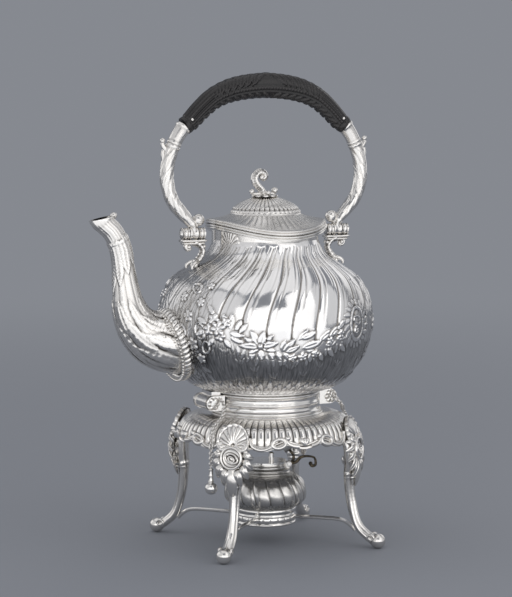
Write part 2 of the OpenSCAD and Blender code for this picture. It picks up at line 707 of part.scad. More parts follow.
function lid_outline() = concat([[rim_r - 0.4, lid_z]], [[rim_r, lid_z + 1.6], [rim_r - 0.6, lid_z + 3.2]],
    smooth([
    [rim_r - 3, lid_z + 4.2], [rim_r - 11, lid_z + 7.2], [lid_seam_r + 1.5, lid_z + 11.2]
]), [[lid_seam_r, lid_z + 12], [lid_seam_r + 0.3, lid_z + 13]], smooth([
    [lid_seam_r - 3, lid_z + 16.6], [lid_seam_r - 8, lid_z + 19.8],
    [lid_seam_r - 17.5, lid_z + lid_h - 1.4], [2.4, lid_z + lid_h]
]));

screw_r = 1.5;
module lid_cover() {
    outer = lid_outline();
    last = len(outer) - 1;
    hollow = [for (i = [3:last - 1])
        let (d = direction(outer, i)) [outer[i][0] - d[1] * lid_wall, outer[i][1] + d[0] * lid_wall]];
    color(silver) difference() {
        rotate_extrude() polygon(concat(
            outer, [[0, dome_top], [0, dome_top - lid_wall]], backwards(hollow),
                [[bezel_r - 2, lid_z + 1.6], [bezel_r - 2, lid_z]]
        ));
        cylinder(r = screw_r + pin_fit, h = dome_top * 2);
    }
}

module lid_bezel() {
    color(silver) translate([0, 0, lid_z - bezel_h]) difference() {
        cylinder(r = bezel_r, h = bezel_h);
        translate([0, 0, -1]) cylinder(r = bezel_r - 1.1, h = bezel_h + 2);
    }
}

// The middle knuckle of the lid's hinge, on a tab at the lid's edge
module lid_hinge_leaf() {
    half = lid_knuckle_l / 2;
    color(silver) {
        lid_barrel(-half, half, lid_pin_d / 2 + pin_fit);
        difference() {
            translate([rim_r - 2, -half, lid_z + 0.5])
                cube([lid_hinge_x - rim_r + 2, lid_knuckle_l, lid_barrel_d / 2 - 0.7]);
            rotate_extrude() polygon(concat([[0, lid_z - 1], [rim_r - 0.4, lid_z - 1]], lid_outline(),
                [[0, dome_top]]));
            translate([lid_hinge_x, 0, rim_top + face_gap / 2])
                bar_y(lid_barrel_d / 2 - 0.1, -ear_span, ear_span);
        }
    }
}

module lid_hinge_pin() {
    reach = lid_knuckle_l * 1.5 + face_gap + 0.6;
    color(silver) translate([lid_hinge_x, 0, rim_top + face_gap / 2]) bar_y(lid_pin_d / 2, -reach, reach);
}

// A leaf scroll on a low round base, with its screw through the lid
module finial() {
    z = dome_top;
    color(silver) {
        translate([-1, 0, z]) cylinder(r1 = 11, r2 = 8, h = 1.6);
        translate([0, 0, z - lid_wall - 4]) cylinder(r = screw_r, h = lid_wall + 5);
        swept(smooth([
            [-1, z + 0.8, 3, 3.6], [-3, z + 3.2, 2.6, 3.4], [-7.5, z + finial_h * 0.36, 2.3, 3.2],
            [-10.4, z + finial_h * 0.66, 2.2, 3],
            [-8.2, z + finial_h * 0.9, 2, 2.8], [-3, z + finial_h - 2.3, 1.9, 2.6],
            [1.2, z + finial_h * 0.75, 1.8, 2.4], [0.6, z + finial_h * 0.62, 1.5, 2]
        ]), 10);
        translate([8, 0, z + 3.6]) sphere(r = 2.6, $fn = 32);
        translate([-12, 0, z + 3]) sphere(r = 2.2, $fn = 32);
        swept(smooth([[-1, z + 1, 1.8, 2.4], [4, z + 1.6, 1.8, 2.4], [8, z + 3.6, 1.4, 1.8]]), 8);
        swept(smooth([[-1, z + 1, 1.8, 2.4], [-7, z + 1.4, 1.8, 2.4], [-12, z + 3, 1.4, 1.8]]), 8);
    }
}

module finial_nut() {
    color(silver) translate([0, 0, dome_top - lid_wall - 2.8]) difference() {
        cylinder(r = 3.6, h = 2.6, $fn = 6);
        translate([0, 0, -1]) cylinder(r = screw_r + pin_fit, h = 5, $fn = 32);
    }
}

// The bail

arm_half = bail_arm_t / 2;
function bail_knots() = [
    [bail_joint_x, bail_z + 0.5, 3, 4], [bail_joint_x + 0.2, bail_z + 5.6, 3, 4.6],
    [bail_joint_x + 4, bail_z + 10.8, 5, 5.4],
    [bail_joint_x + 10.8, bail_z + 18, 5.8, 5.8], [bail_half_w - 5.4, bail_z + 27, arm_half - 0.3, 6],
    [bail_half_w - 0.8, bail_z + 40, arm_half, 6],
    [bail_half_w - 0.2, bail_z + 52, arm_half, 6.2],
    [bail_half_w - 2.8, bail_z + bail_h - 57.5, arm_half, 6.2],
    [bail_half_w - 8.6, bail_z + bail_h - 44, arm_half + 0.3, 6.2],
    [bail_half_w - 16, bail_z + bail_h - 33.4, arm_half + 0.8, 6.4]
];
function arm_path() = smooth(bail_knots());
grip_end_x = bail_half_w - 16;
grip_end_z = bail_z + bail_h - 33.4;
tang_l = 12;

module bail_arm() {
    path = arm_path();
    last = len(path) - 1;
    along = direction(path, last);
    color(silver) {
        difference() {
            union() {
                translate([0, 0, bail_z]) bar_x(bail_barrel_d / 2, bail_joint_x - bail_mid_l / 2,
                    bail_joint_x + bail_mid_l / 2);
                swept(path);
            }
            translate([0, 0, bail_z]) bar_x(bail_pin_d / 2 + pin_fit, bail_joint_x - bail_barrel_l,
                bail_joint_x + bail_barrel_l);
        }
        swept([
            [grip_end_x - along[0], grip_end_z - along[1], 2.4, 2.4],
            [grip_end_x + along[0] * tang_l, grip_end_z + along[1] * tang_l, 2, 2]
        ], 8);
    }
}
module front_bail_arm() mirror([1, 0, 0]) bail_arm();
module rear_bail_arm() bail_arm();

module bail_grip() {
    path = arm_path();
    last = len(path) - 1;
    along = direction(path, last);
    z = bail_z + bail_h;
    half = [
        [grip_end_x, grip_end_z, 7.1, 7], [grip_end_x + along[0] * 6, grip_end_z + along[1] * 6, 7.3, 7.2],
        [grip_end_x - 15.5, z - 19.4, 7.8, 7.8], [grip_end_x - 29, z - 9.2, 8.6, 8],
        [grip_end_x - 48, z - 2.6, grip_t * 0.48, 8.2], [0, z, grip_t / 2, 8.4]
    ];
    other = [for (i = [len(half) - 2:-1:0]) [-half[i][0], half[i][1], half[i][2], half[i][3]]];
    color(ebony) swept(smooth(concat(half, other)), 16);
}

module grip_pins() {
    path = arm_path();
    along = direction(path, len(path) - 1);
    color(silver) for (side = [0, 1]) mirror([side, 0, 0])
        translate([grip_end_x + along[0] * 7, 0, grip_end_z + along[1] * 7]) bar_y(1, -7.6, 7.6);
}

module bail_pivot() {
    end = bail_joint_x + bail_barrel_l / 2;
    start = bail_joint_x - bail_barrel_l / 2;
    color(silver) translate([0, 0, bail_z]) {
        bar_x(bail_pin_d / 2, start, end);
        translate([end, 0, 0]) rotate([0, 90, 0])
            cylinder(r1 = bail_pin_d * 0.85, r2 = bail_pin_d * 0.5, h = 1.6);
    }
}
module front_bail_pivot() mirror([1, 0, 0]) bail_pivot();
module rear_bail_pivot() bail_pivot();

// The lamp, modelled with its snuffer towards +X and then turned

module in_lamp() {
    rotate([0, 0, lamp_turn]) children();
}

module lamp_reservoir() {
    spigot_r = ring_r - ring_wall - ring_fit;
    outer = concat([[0, ring_z + 4], [spigot_r, ring_z + 4], [spigot_r, ring_top],
        [spigot_r + 3.2, ring_top]], smooth([
        [lamp_r - 4, ring_top + 3.2], [lamp_r, ring_top + 11.5], [lamp_r - 2.4, ring_top + 20.5],
        [lamp_r - 9, plate_z - 11],
        [lamp_collar_r + 2.6, plate_z - 8.8], [lamp_collar_r, plate_z - 7.6]
    ]), [[lamp_collar_r, plate_z]]);
    last = len(outer) - 1;
    hollow = inset(outer, lamp_wall);
    color(silver) rotate_extrude() polygon(concat(
        outer, [[lamp_collar_r - lamp_wall, plate_z]], backwards([for (i = [5:last - 1]) hollow[i]]),
        [[spigot_r - lamp_wall, ring_top + 1.4], [spigot_r - lamp_wall, ring_z + 4 + lamp_wall],
        [0, ring_z + 4 + lamp_wall]]
    ));
}

plate_t = 1.4;
module burner_plate() {
    color(silver) in_lamp() difference() {
        union() {
            translate([0, 0, plate_z]) cylinder(r = lamp_collar_r + 0.8, h = plate_t);
            translate([0, 0, plate_z - 3]) cylinder(r = lamp_collar_r - lamp_wall - ring_fit, h = 3);
        }
        translate([0, 0, plate_z - 4]) cylinder(r = lamp_collar_r - lamp_wall - 1.6, h = 4);
        translate([wick_x, 0, plate_z - 4]) cylinder(d = wick_tube_d, h = 8, $fn = 48);
    }
}

module wick_tube() {
    color(silver) in_lamp() translate([wick_x, 0, plate_z - 5]) difference() {
        cylinder(d = wick_tube_d, h = 5 + plate_t + wick_tube_h, $fn = 48);
        translate([0, 0, -1]) cylinder(d = wick_tube_d - 1.2, h = 20, $fn = 48);
    }
}

module wick() {
    top = plate_z + plate_t + wick_tube_h + 1.2;
    bottom = ring_top + 2;
    color("#e8e2d2") in_lamp() translate([wick_x, 0, bottom])
        cylinder(d = wick_tube_d - 1.4, h = top - bottom, $fn = 32);
}

snuffer_z = plate_z - 1.4;
snuffer_pin_r = 0.9;
snuffer_mid = 3;
// A shaped plate soldered to the lamp's collar, with two ears for the snuffer's pin
module snuffer_bracket() {
    ear = 1.6;
    inner = snuffer_mid / 2 + 0.2;
    color(silver) in_lamp() difference() {
        union() {
            translate([lamp_collar_r - 2, -3.2, plate_z - 7.2]) cube([2.8, 6.4, 6.9]);
            for (side = [0, 1]) mirror([0, side, 0]) {
                translate([lamp_collar_r - 1, inner, plate_z - 7.2])
                    cube([snuffer_x - lamp_collar_r + 1, ear, 6.9]);
                translate([snuffer_x, 0, snuffer_z]) bar_y(2.2, inner, inner + ear);
            }
        }
        translate([0, 0, ring_z]) cylinder(r = lamp_collar_r, h = plate_z - ring_z);
        translate([0, 0, plate_z - 0.01]) cylinder(r = lamp_collar_r + 0.8, h = 4);
        translate([snuffer_x, 0, snuffer_z]) bar_y(snuffer_pin_r, -5, 5);
    }
}

// The snuffer is drawn shut over the wick and then swung open about its hinge
module snuffer_swung() {
    in_lamp() translate([snuffer_x, 0, snuffer_z]) rotate([0, snuffer_open, 0])
        translate([-snuffer_x, 0, -snuffer_z]) children();
}
cap_z = plate_z + plate_t + face_gap;

module snuffer_cap() {
    wall = 0.9;
    color(silver) snuffer_swung() translate([wick_x, 0, cap_z]) rotate_extrude($fn = 48) polygon([
        [snuffer_r - wall, 0], [snuffer_r, 0], [snuffer_r, snuffer_h * 0.6],
        [snuffer_r * 0.8, snuffer_h * 0.88], [snuffer_r * 0.4, snuffer_h],
        [0, snuffer_h + 0.2], [0, snuffer_h - wall + 0.2], [snuffer_r * 0.36, snuffer_h - wall],
        [snuffer_r * 0.7, snuffer_h * 0.88 - wall],
        [snuffer_r - wall, snuffer_h * 0.6 - 0.3]
    ]);
}

// A curled lever whose other end carries the cap, with the knuckle between them
module snuffer_lever() {
    x = snuffer_x;
    z = snuffer_z;
    side_x = wick_x + snuffer_r;
    color(ebony) snuffer_swung() difference() {
        union() {
            translate([x, 0, z]) bar_y(1.9, -snuffer_mid / 2, snuffer_mid / 2);
            swept(smooth([[x, z + 0.2, 1.2, 1.3], [x - 0.4, z + 4.4, 1.2, 1.3], [x - 3.6, z + 7, 1.2, 1.3],
                [side_x - 0.2, cap_z + 4, 1.2, 1.3]]), 8);
            swept(smooth([
                [x, z, 1.2, 1.3], [x + 2.4, z + 5.5, 1.1, 1.2], [x + 1.4, z + 11, 1, 1.1],
                [x + 3.6, z + 16, 1.1, 1.1],
                [x + 8.4, z + 20.5, 1.1, 1.1], [x + 13.6, z + 18.2, 1, 1], [x + 12.4, z + 14.4, 0.9, 0.9]
            ]), 8);
        }
        translate([x, 0, z]) bar_y(snuffer_pin_r + pin_fit, -5, 5);
        translate([wick_x, 0, cap_z]) cylinder(r = snuffer_r, h = snuffer_h);
    }
}

module snuffer_pin() {
    reach = snuffer_mid / 2 + 2.2;
    color(silver) in_lamp() translate([snuffer_x, 0, snuffer_z]) bar_y(snuffer_pin_r, -reach, reach);
}

stand_collar();
stand_apron();
leg_front_left();
leg_front_right();
leg_rear_left();
leg_rear_right();
knee_shell_front_left();
knee_shell_front_right();
knee_shell_rear_left();
knee_shell_rear_right();
stretcher_front_left();
stretcher_front_right();
stretcher_rear_left();
stretcher_rear_right();
lamp_ring();
front_hinge_ears();
front_hinge_rod();
rear_lock_ears();
front_chain();
front_lock_pin();
rear_chain();
rear_lock_pin();
kettle_body();
kettle_shoulder();
kettle_flutes();
kettle_neck();
kettle_rim();
kettle_foot();
spout();
spout_beak();
spout_collar();
front_bail_bracket();
rear_bail_bracket();
front_hinge_knuckle();
rear_lock_tongue();
lid_hinge_socket();
front_bail_arm();
rear_bail_arm();
bail_grip();
grip_pins();
front_bail_pivot();
rear_bail_pivot();
lid_cover();
lid_bezel();
lid_hinge_leaf();
lid_hinge_pin();
finial();
finial_nut();
lamp_reservoir();
burner_plate();
wick_tube();
wick();
snuffer_bracket();
snuffer_cap();
snuffer_lever();
snuffer_pin();
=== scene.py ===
import json
import math

import bpy
import numpy as np
from mathutils import Matrix, Vector


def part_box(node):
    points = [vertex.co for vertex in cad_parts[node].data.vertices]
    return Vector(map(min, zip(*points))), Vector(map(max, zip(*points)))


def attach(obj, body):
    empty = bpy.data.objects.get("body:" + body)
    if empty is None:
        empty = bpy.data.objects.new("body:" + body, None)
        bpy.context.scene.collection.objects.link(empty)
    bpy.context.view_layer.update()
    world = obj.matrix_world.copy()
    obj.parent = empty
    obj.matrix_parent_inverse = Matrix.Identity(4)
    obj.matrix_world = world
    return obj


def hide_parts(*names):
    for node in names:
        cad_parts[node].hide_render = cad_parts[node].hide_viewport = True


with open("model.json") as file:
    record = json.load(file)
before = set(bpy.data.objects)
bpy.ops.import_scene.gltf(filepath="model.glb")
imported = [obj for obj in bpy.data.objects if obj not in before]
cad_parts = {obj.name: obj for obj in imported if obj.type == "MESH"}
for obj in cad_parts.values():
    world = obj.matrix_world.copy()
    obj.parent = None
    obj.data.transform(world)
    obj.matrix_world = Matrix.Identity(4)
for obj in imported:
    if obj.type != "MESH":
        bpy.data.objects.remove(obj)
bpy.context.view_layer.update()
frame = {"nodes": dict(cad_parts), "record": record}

# Sizes of the pieces are in millimetres, in the frame of the part, and azimuths in degrees from +X.
# Sizes in the materials and of the floor, the lamps and the camera are in metres.
MM = 0.001
rng = np.random.default_rng(11)


# Curves and grids

def smooth(knots, steps=4):
    """A smooth curve through the knots, by the Catmull-Rom rule."""
    k = np.asarray(knots, float)
    p = np.vstack([k[0], k, k[-1]])
    out = []
    for a, b, c, d in zip(p, p[1:], p[2:], p[3:]):
        for t in np.arange(steps) / steps:
            out.append(0.5 * (2 * b + (c - a) * t + (2 * a - 5 * b + 4 * c - d) * t ** 2
                              + (3 * b - a - 3 * c + d) * t ** 3))
    return np.array(out + [k[-1]])


def even(p, n):
    """n points spaced evenly along a curve, and how far along each is."""
    p = np.asarray(p, float)
    step = np.linalg.norm(np.diff(p[:, :2], axis=0), axis=1)
    along = np.r_[0, np.cumsum(step)]
    t = np.linspace(0, along[-1], n)
    return np.stack([np.interp(t, along, p[:, i]) for i in range(p.shape[1])], 1), t


def ramp(x, low, high):
    """0 below low, 1 above high, and smooth between them."""
    t = np.clip((x - low) / (high - low), 0, 1)
    return t * t * (3 - 2 * t)


def bell(x, middle, width):
    """1 at the middle, dying out over a few widths."""
    return np.exp(-((x - middle) / width) ** 2)


def dome(q):
    """A round bump: 1 at 0, and 0 from 1 outwards."""
    return np.clip(1 - q ** 2, 0, 1) ** 0.5


def wrapped(angle):
    """Degrees, brought between -180 and 180."""
    return (angle + 180) % 360 - 180


def heading(angle):
    """The cosine and sine of an angle in degrees."""
    return math.cos(math.radians(angle)), math.sin(math.radians(angle))


def circle(n):
    """A row of n angles round a full turn, in radians."""
    return np.linspace(0, 2 * math.pi, n, endpoint=False)[None, :]


def azimuths(n):
    """A row of n azimuths round a full turn, in degrees from -180."""
    return np.linspace(-180, 180, n, endpoint=False)[None, :]


def turned(r, z, a, middle=(0, 0)):
    """Points at radius r, height z and azimuth a in radians, about an upright axis."""
    x, y = middle[0] + r * np.cos(a), middle[1] + r * np.sin(a)
    return np.stack(np.broadcast_arrays(x, y, z), -1)


def blur(h, times):
    """h evened out over its neighbours. Its columns go round."""
    for _ in range(times):
        h = (h + np.roll(h, 1, 1) + np.roll(h, -1, 1)) / 3
        h = (h + np.r_[h[:1], h[:-1]] + np.r_[h[1:], h[-1:]]) / 3
    return h


def linked(name, data):
    """A new object in the scene."""
    item = bpy.data.objects.new(name, data)
    bpy.context.scene.collection.objects.link(item)
    return item


class Shape:
    """Closed grids of points, gathered into one mesh.
    Each point has a cavity value: how far it stands above what is round it."""

    def __init__(self):
        self.points, self.faces, self.cavity, self.count = [], [], [], 0

    def grid(self, p, relief=None, loop=False, times=8, cavity=None):
        """Adds a tube of rings p[i, k]. If loop is set, the last ring joins the first.
        Otherwise a middle point closes each end."""
        n, m = p.shape[:2]
        if cavity is None:
            cavity = np.zeros((n, m)) if relief is None else relief - blur(relief, times)
        i, k = np.meshgrid(np.arange(n if loop else n - 1), np.arange(m), indexing="ij")
        i2, k2 = (i + 1) % n, (k + 1) % m
        quads = np.stack([i * m + k, i * m + k2, i2 * m + k2, i2 * m + k], -1).reshape(-1, 4)
        points, faces = p.reshape(-1, 3), [quads]
        cavity = cavity.reshape(-1)
        if not loop:
            points = np.vstack([points, p[0].mean(0), p[-1].mean(0)])
            cavity = np.r_[cavity, cavity[:m].mean(), cavity[-m:].mean()]
            k = np.arange(m)
            k2, last = (k + 1) % m, (n - 1) * m
            faces.append(np.stack([np.full(m, n * m), k2, k], -1))
            faces.append(np.stack([np.full(m, n * m + 1), last + k, last + k2], -1))
        fans = np.vstack([f[:, :3] for f in faces] + [quads[:, [0, 2, 3]]])
        middle = points.mean(0)
        a, b, c = (points[fans[:, j]] - middle for j in range(3))
        if np.einsum("ij,ij->i", a, np.cross(b, c)).sum() < 0:
            faces = [f[:, ::-1] for f in faces]
        self.points.append(points)
        self.faces += [row + self.count for f in faces for row in f]
        self.cavity.append(cavity)
        self.count += len(points)
        return self

    def join(self, other, turn=0.0, mirror=False):
        """Adds a copy of another shape, turned about Z, or mirrored from rear to front."""
        for points, cavity in zip(other.points, other.cavity):
            self.points.append(spin(points * (-1, 1, 1) if mirror else points, turn))
            self.cavity.append(cavity)
        self.faces += [(f[::-1] if mirror else f) + self.count for f in other.faces]
        self.count += other.count
        return self

    def make(self, name, body, slot, nodes, material=None, crease=62):
        """The mesh, as a piece that rides on a body and stands in for CAD nodes."""
        mesh = bpy.data.meshes.new(name)
        mesh.from_pydata((np.vstack(self.points) * MM).tolist(), [], [f.tolist() for f in self.faces])
        mesh.update()
        mesh.shade_smooth()
        mesh.set_sharp_from_angle(angle=math.radians(crease))
        mesh.materials.append(material or SLOTS[slot])
        piece = linked(name, mesh)
        self.mark(piece, "cavity", np.concatenate(self.cavity))
        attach(piece, body)
        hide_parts(*nodes)
        return piece

    @staticmethod
    def mark(piece, name, values):
        """Keeps a value for each point, which materials read."""
        data = piece.data.attributes.new(name, "FLOAT", "POINT").data
        data.foreach_set("value", values.ravel().astype(np.float32))


def spin(points, turn):
    """Points turned about Z by degrees."""
    if not turn:
        return points
    c, s = heading(turn)
    return points @ np.array([[c, s, 0], [-s, c, 0], [0, 0, 1]])


def lathe(shape, outline, columns, relief=None, loop=True, middle=(0, 0), times=8, lift=None):
    """A turned form. outline is a closed loop of (r, z) rows. relief(azimuth, row) gives how far
    each point stands out, and lift(azimuth, row) how far it rises."""
    o = np.asarray(outline, float)
    d = np.roll(o, -1, 0) - np.roll(o, 1, 0) if loop else np.gradient(o, axis=0)
    d /= np.linalg.norm(d, axis=1)[:, None] + 1e-9
    az, row = azimuths(columns), np.arange(len(o))[:, None]
    h = np.broadcast_to(relief(az, row) if relief else 0.0, (len(o), columns))
    r = np.maximum(o[:, :1] + h * d[:, 1:], 0.01)
    z = o[:, 1:] - h * d[:, :1] + (lift(az, row) if lift else 0)
    return shape.grid(turned(r, z, np.radians(az), middle), h, loop, times)


def tube(shape, path, radius, sides=10, flat=1.0, up=(0, 0, 1)):
    """A round or flattened rod along points in space, with a radius at each."""
    p = np.asarray(path, float)
    radius = np.broadcast_to(np.asarray(radius, float), len(p))
    d = np.gradient(p, axis=0)
    d /= np.linalg.norm(d, axis=1)[:, None] + 1e-9
    side = np.cross(d, np.asarray(up, float))
    for i in range(1, len(side)):
        if np.linalg.norm(side[i]) < 0.2:
            side[i] = side[i - 1]
    side /= np.linalg.norm(side, axis=1)[:, None] + 1e-9
    other = np.cross(side, d)
    a = circle(sides)[..., None]
    ring = side[:, None] * np.cos(a) * flat + other[:, None] * np.sin(a)
    return shape.grid(p[:, None] + ring * radius[:, None, None])


def ball(shape, at, r, rings=12, sides=18):
    """A ball of radius r at a place."""
    a = np.radians(np.linspace(-90, 90, rings + 2)[1:-1])[:, None]
    return shape.grid(turned(np.cos(a) * r, at[2] + np.sin(a) * r, circle(sides), at))


def sweep(shape, knots, sides, relief, rows, wall=0.0, times=8, power=1.0):
    """A form swept along a path in the XZ plane. A knot is (x, z, half height, half width).
    relief(angle, along, path) gives how far each point stands out. Angle 0 points to the path's left.
    With a wall it is a tube, open at both ends."""
    path, along = even(smooth(knots), rows)
    d = np.gradient(path[:, :2], axis=0)
    d /= np.linalg.norm(d, axis=1)[:, None]
    a = circle(sides)
    h = relief(np.degrees(a), along[:, None], path) if relief else np.zeros((rows, sides))
    c, s = np.cos(a), np.sin(a)
    c, s = np.sign(c) * abs(c) ** power, np.sign(s) * abs(s) ** power

    def ring(half_h, half_w, extra):
        u, w = (half_h + extra) * c, (half_w + extra) * s
        return np.stack([path[:, :1] - d[:, 1:] * u, w, path[:, 1:2] + d[:, :1] * u], -1)

    outer = ring(path[:, 2:3], path[:, 3:4], h)
    if not wall:
        return shape.grid(outer, h, False, times)
    inner = ring(path[:, 2:3] - wall, path[:, 3:4] - wall, 0)
    return shape.grid(np.vstack([outer, inner[::-1]]), np.vstack([h, 0 * h]), True, times)


# Chased ornament, as heights over a flat surface

def local(x, y, at, angle):
    """Places seen from a point, with the first direction along an angle."""
    c, s = heading(angle)
    dx, dy = x - at[0], y - at[1]
    return dx * c + dy * s, dy * c - dx * s


def leaf(x, y, at, angle, length, width, lift, bend=0.0, lobes=0):
    """A veined leaf that starts at a place and points along an angle."""
    a, b = local(x, y, at, angle)
    t = np.clip(a / length, 0, 1)
    b = b - bend * length * t * t
    w = width / 2 * np.sin(math.pi * t ** 0.8) ** 0.75 + 1e-6
    if lobes:
        w = w * (0.82 + 0.18 * np.abs(np.cos(lobes * math.pi * t)))
    k = dome(b / w)
    vein = 1 - 0.5 * bell(b, 0, 0.12 * width)
    ribs = 1 - 0.16 * np.abs(np.sin(math.pi * (a - np.abs(b)) / (0.22 * width + 0.5)))
    return np.where((a > 0) & (a < length), lift * k * vein * ribs * (0.55 + 0.45 * t), 0)


def petal(x, y, angle, length, width, lift, bend=0.0):
    """A smooth pointed leaf with one vein, from the origin along an angle."""
    a, b = local(x, y, (0, 0), angle)
    t = np.clip(a / length, 0, 1)
    b = b - bend * length * t * t
    w = width / 2 * np.clip(2.6 * t ** 0.7 * (1 - t) ** 0.75, 0, 1) + 1e-6
    k = np.clip(1 - (b / w) ** 2, 0, 1) ** 0.45
    vein = 1 - 0.42 * bell(b, 0, 0.13 * width) * ramp(1 - t, 0.05, 0.3)
    return np.where((a > 0) & (a < length), lift * k * vein * (0.6 + 0.4 * t), 0)


def flower(x, y, r, petals, turn, lift):
    """An open flower round the origin, with a raised eye."""
    d, a = np.hypot(x, y), np.arctan2(y, x)
    k = np.abs(np.cos(petals * (a - math.radians(turn)) / 2))
    q = d / (r * (0.55 + 0.45 * k ** 0.7))
    crown = np.clip(1 - q ** 4, 0, 1) ** 0.5 * (0.35 + 0.65 * k ** 0.8) * (0.5 + 0.5 * np.clip(q * 1.5, 0, 1))
    return lift * np.maximum(crown, 0.95 * dome(d / (0.26 * r)))


def ridge(x, y, line, width, lift):
    """A round moulding along a line of points, which may give its own width as a third number."""
    line = np.asarray(line, float)
    if line.shape[1] == 2:
        line = np.c_[line, np.ones(len(line))]
    out = np.zeros(np.broadcast(x, y).shape)
    for p, q in zip(line, line[1:]):
        v = q[:2] - p[:2]
        t = np.clip(((x - p[0]) * v[0] + (y - p[1]) * v[1]) / (v @ v + 1e-9), 0, 1)
        w = width * (p[2] + (q[2] - p[2]) * t) / 2
        d = np.hypot(x - p[0] - v[0] * t, y - p[1] - v[1] * t)
        out = np.maximum(out, lift * dome(d / w))
    return out


def curl(at, r, start, sweep_by, shrink=0.12, steps=22):
    """Points of a spiral from radius r inwards, round a middle place."""
    t = np.linspace(0, 1, steps)
    a = np.radians(start + sweep_by * t)
    rr = r * (1 - (1 - shrink) * t)
    return np.c_[at[0] + rr * np.cos(a), at[1] + rr * np.sin(a), 1 - 0.35 * t]


def c_scroll(at, size, angle, hand=1):
    """Points of a C-scroll: an open arc that curls in at both ends."""
    t = np.linspace(-1, 1, 41)
    a = np.radians(hand * (t * 250) + (180 if hand > 0 else 0))
    rr = size * (1 - 0.62 * np.abs(t) ** 2.2)
    x = rr * np.cos(a) * 0.8
    y = rr * np.sin(a) * 1.15 + np.sign(t) * 0.35 * size * np.abs(t) ** 2
    c, s = heading(angle)
    return np.c_[at[0] + x * c - y * s, at[1] + x * s + y * c, 1 - 0.3 * np.abs(t)]


# Materials

class Nodes:
    """The node tree of a material or the world, with short ways to wire it.
    An input is given as a plain value or as the output of another node."""

    def __init__(self, owner):
        owner.use_nodes = True
        self.owner, self.tree = owner, owner.node_tree
        self.shader = self.find("BSDF_PRINCIPLED")

    def find(self, kind):
        return next((n for n in self.tree.nodes if n.type == kind), None)

    def feed(self, node, inputs):
        for socket, value in inputs.items():
            if isinstance(value, bpy.types.NodeSocket):
                self.tree.links.new(value, node.inputs[socket])
            else:
                node.inputs[socket].default_value = value

    def add(self, kind, inputs=None, output=0, **settings):
        """Adds a node, and gives back one of its outputs."""
        node = self.tree.nodes.new("ShaderNode" + kind)
        for key, value in settings.items():
            setattr(node, key, value)
        self.feed(node, inputs or {})
        return node.outputs[output]

    def place(self):
        return self.add("TexCoord", output="Object")

    def mark(self, name):
        """The value that a piece keeps under a name for each of its points."""
        return self.add("Attribute", output="Fac", attribute_name=name)

    def noise(self, scale, detail, roughness=0.5, at=None):
        inputs = {"Vector": at or self.place(), "Scale": scale, "Detail": detail, "Roughness": roughness}
        return self.add("TexNoise", inputs)

    def level(self, value, low, high, to_low=0.0, to_high=1.0):
        """A value carried from one span to another."""
        spans = {"From Min": low, "From Max": high, "To Min": to_low, "To Max": to_high}
        return self.add("MapRange", {"Value": value, **spans})

    def mix(self, share, a, b, blend="MIX"):
        inputs = {"Factor": share, "A": a, "B": b}
        return self.add("Mix", inputs, "Result", data_type="RGBA", blend_type=blend)

    def sum(self, kind, *values):
        return self.add("Math", dict(enumerate(values)), operation=kind)

    def two_tone(self, value, low, low_tone, high, high_tone):
        """A colour that goes from one tone to another between two levels of a value."""
        tone = self.add("ValToRGB", {"Fac": value})
        stops = tone.node.color_ramp.elements
        stops[0].position, stops[0].color = low, (*low_tone, 1)
        stops[1].position, stops[1].color = high, (*high_tone, 1)
        return tone

    def dress(self, colour, roughness, height, strength, depth, metallic=0.0):
        """Sets the shader's look, with a bump made of a height."""
        bump = self.add("Bump", {"Height": height, "Strength": strength, "Distance": depth})
        look = {"Base Color": colour, "Roughness": roughness, "Normal": bump, "Metallic": metallic}
        self.feed(self.shader, look)
        return self.owner


def metal(name, bright, dark, rough, grain, scratch=0.12, keep=0.94):
    """Silver: bright where it stands out, darker in its cavities with tarnish and painted shade, with cloudy
    polish and fine hairlines.
    """
    nodes = Nodes(bpy.data.materials.new(name))
    depth = nodes.level(nodes.mark("cavity"), -0.4, 0.04)
    cloud = nodes.noise(45.0, 5.0, 0.6)
    # The cavities take the dark colour: tarnish in the hollows, deepened by painted shade.
    tarnish_and_painted_shade = nodes.mix(depth, (*dark, 1), (*bright, 1))
    shade = nodes.mix(1.0, tarnish_and_painted_shade, nodes.level(cloud, 0.35, 0.75, 1.0, keep), "MULTIPLY")
    polish = nodes.level(cloud, 0.3, 0.7, rough * 0.75, rough * 1.35)
    worn = nodes.level(depth, 0.0, 1.0, 0.22, 0.0)
    roughness = nodes.sum("ADD", polish, worn)
    return nodes.dress(shade, roughness, nodes.noise(900.0, 3.0, 0.7), scratch, grain, 1.0)


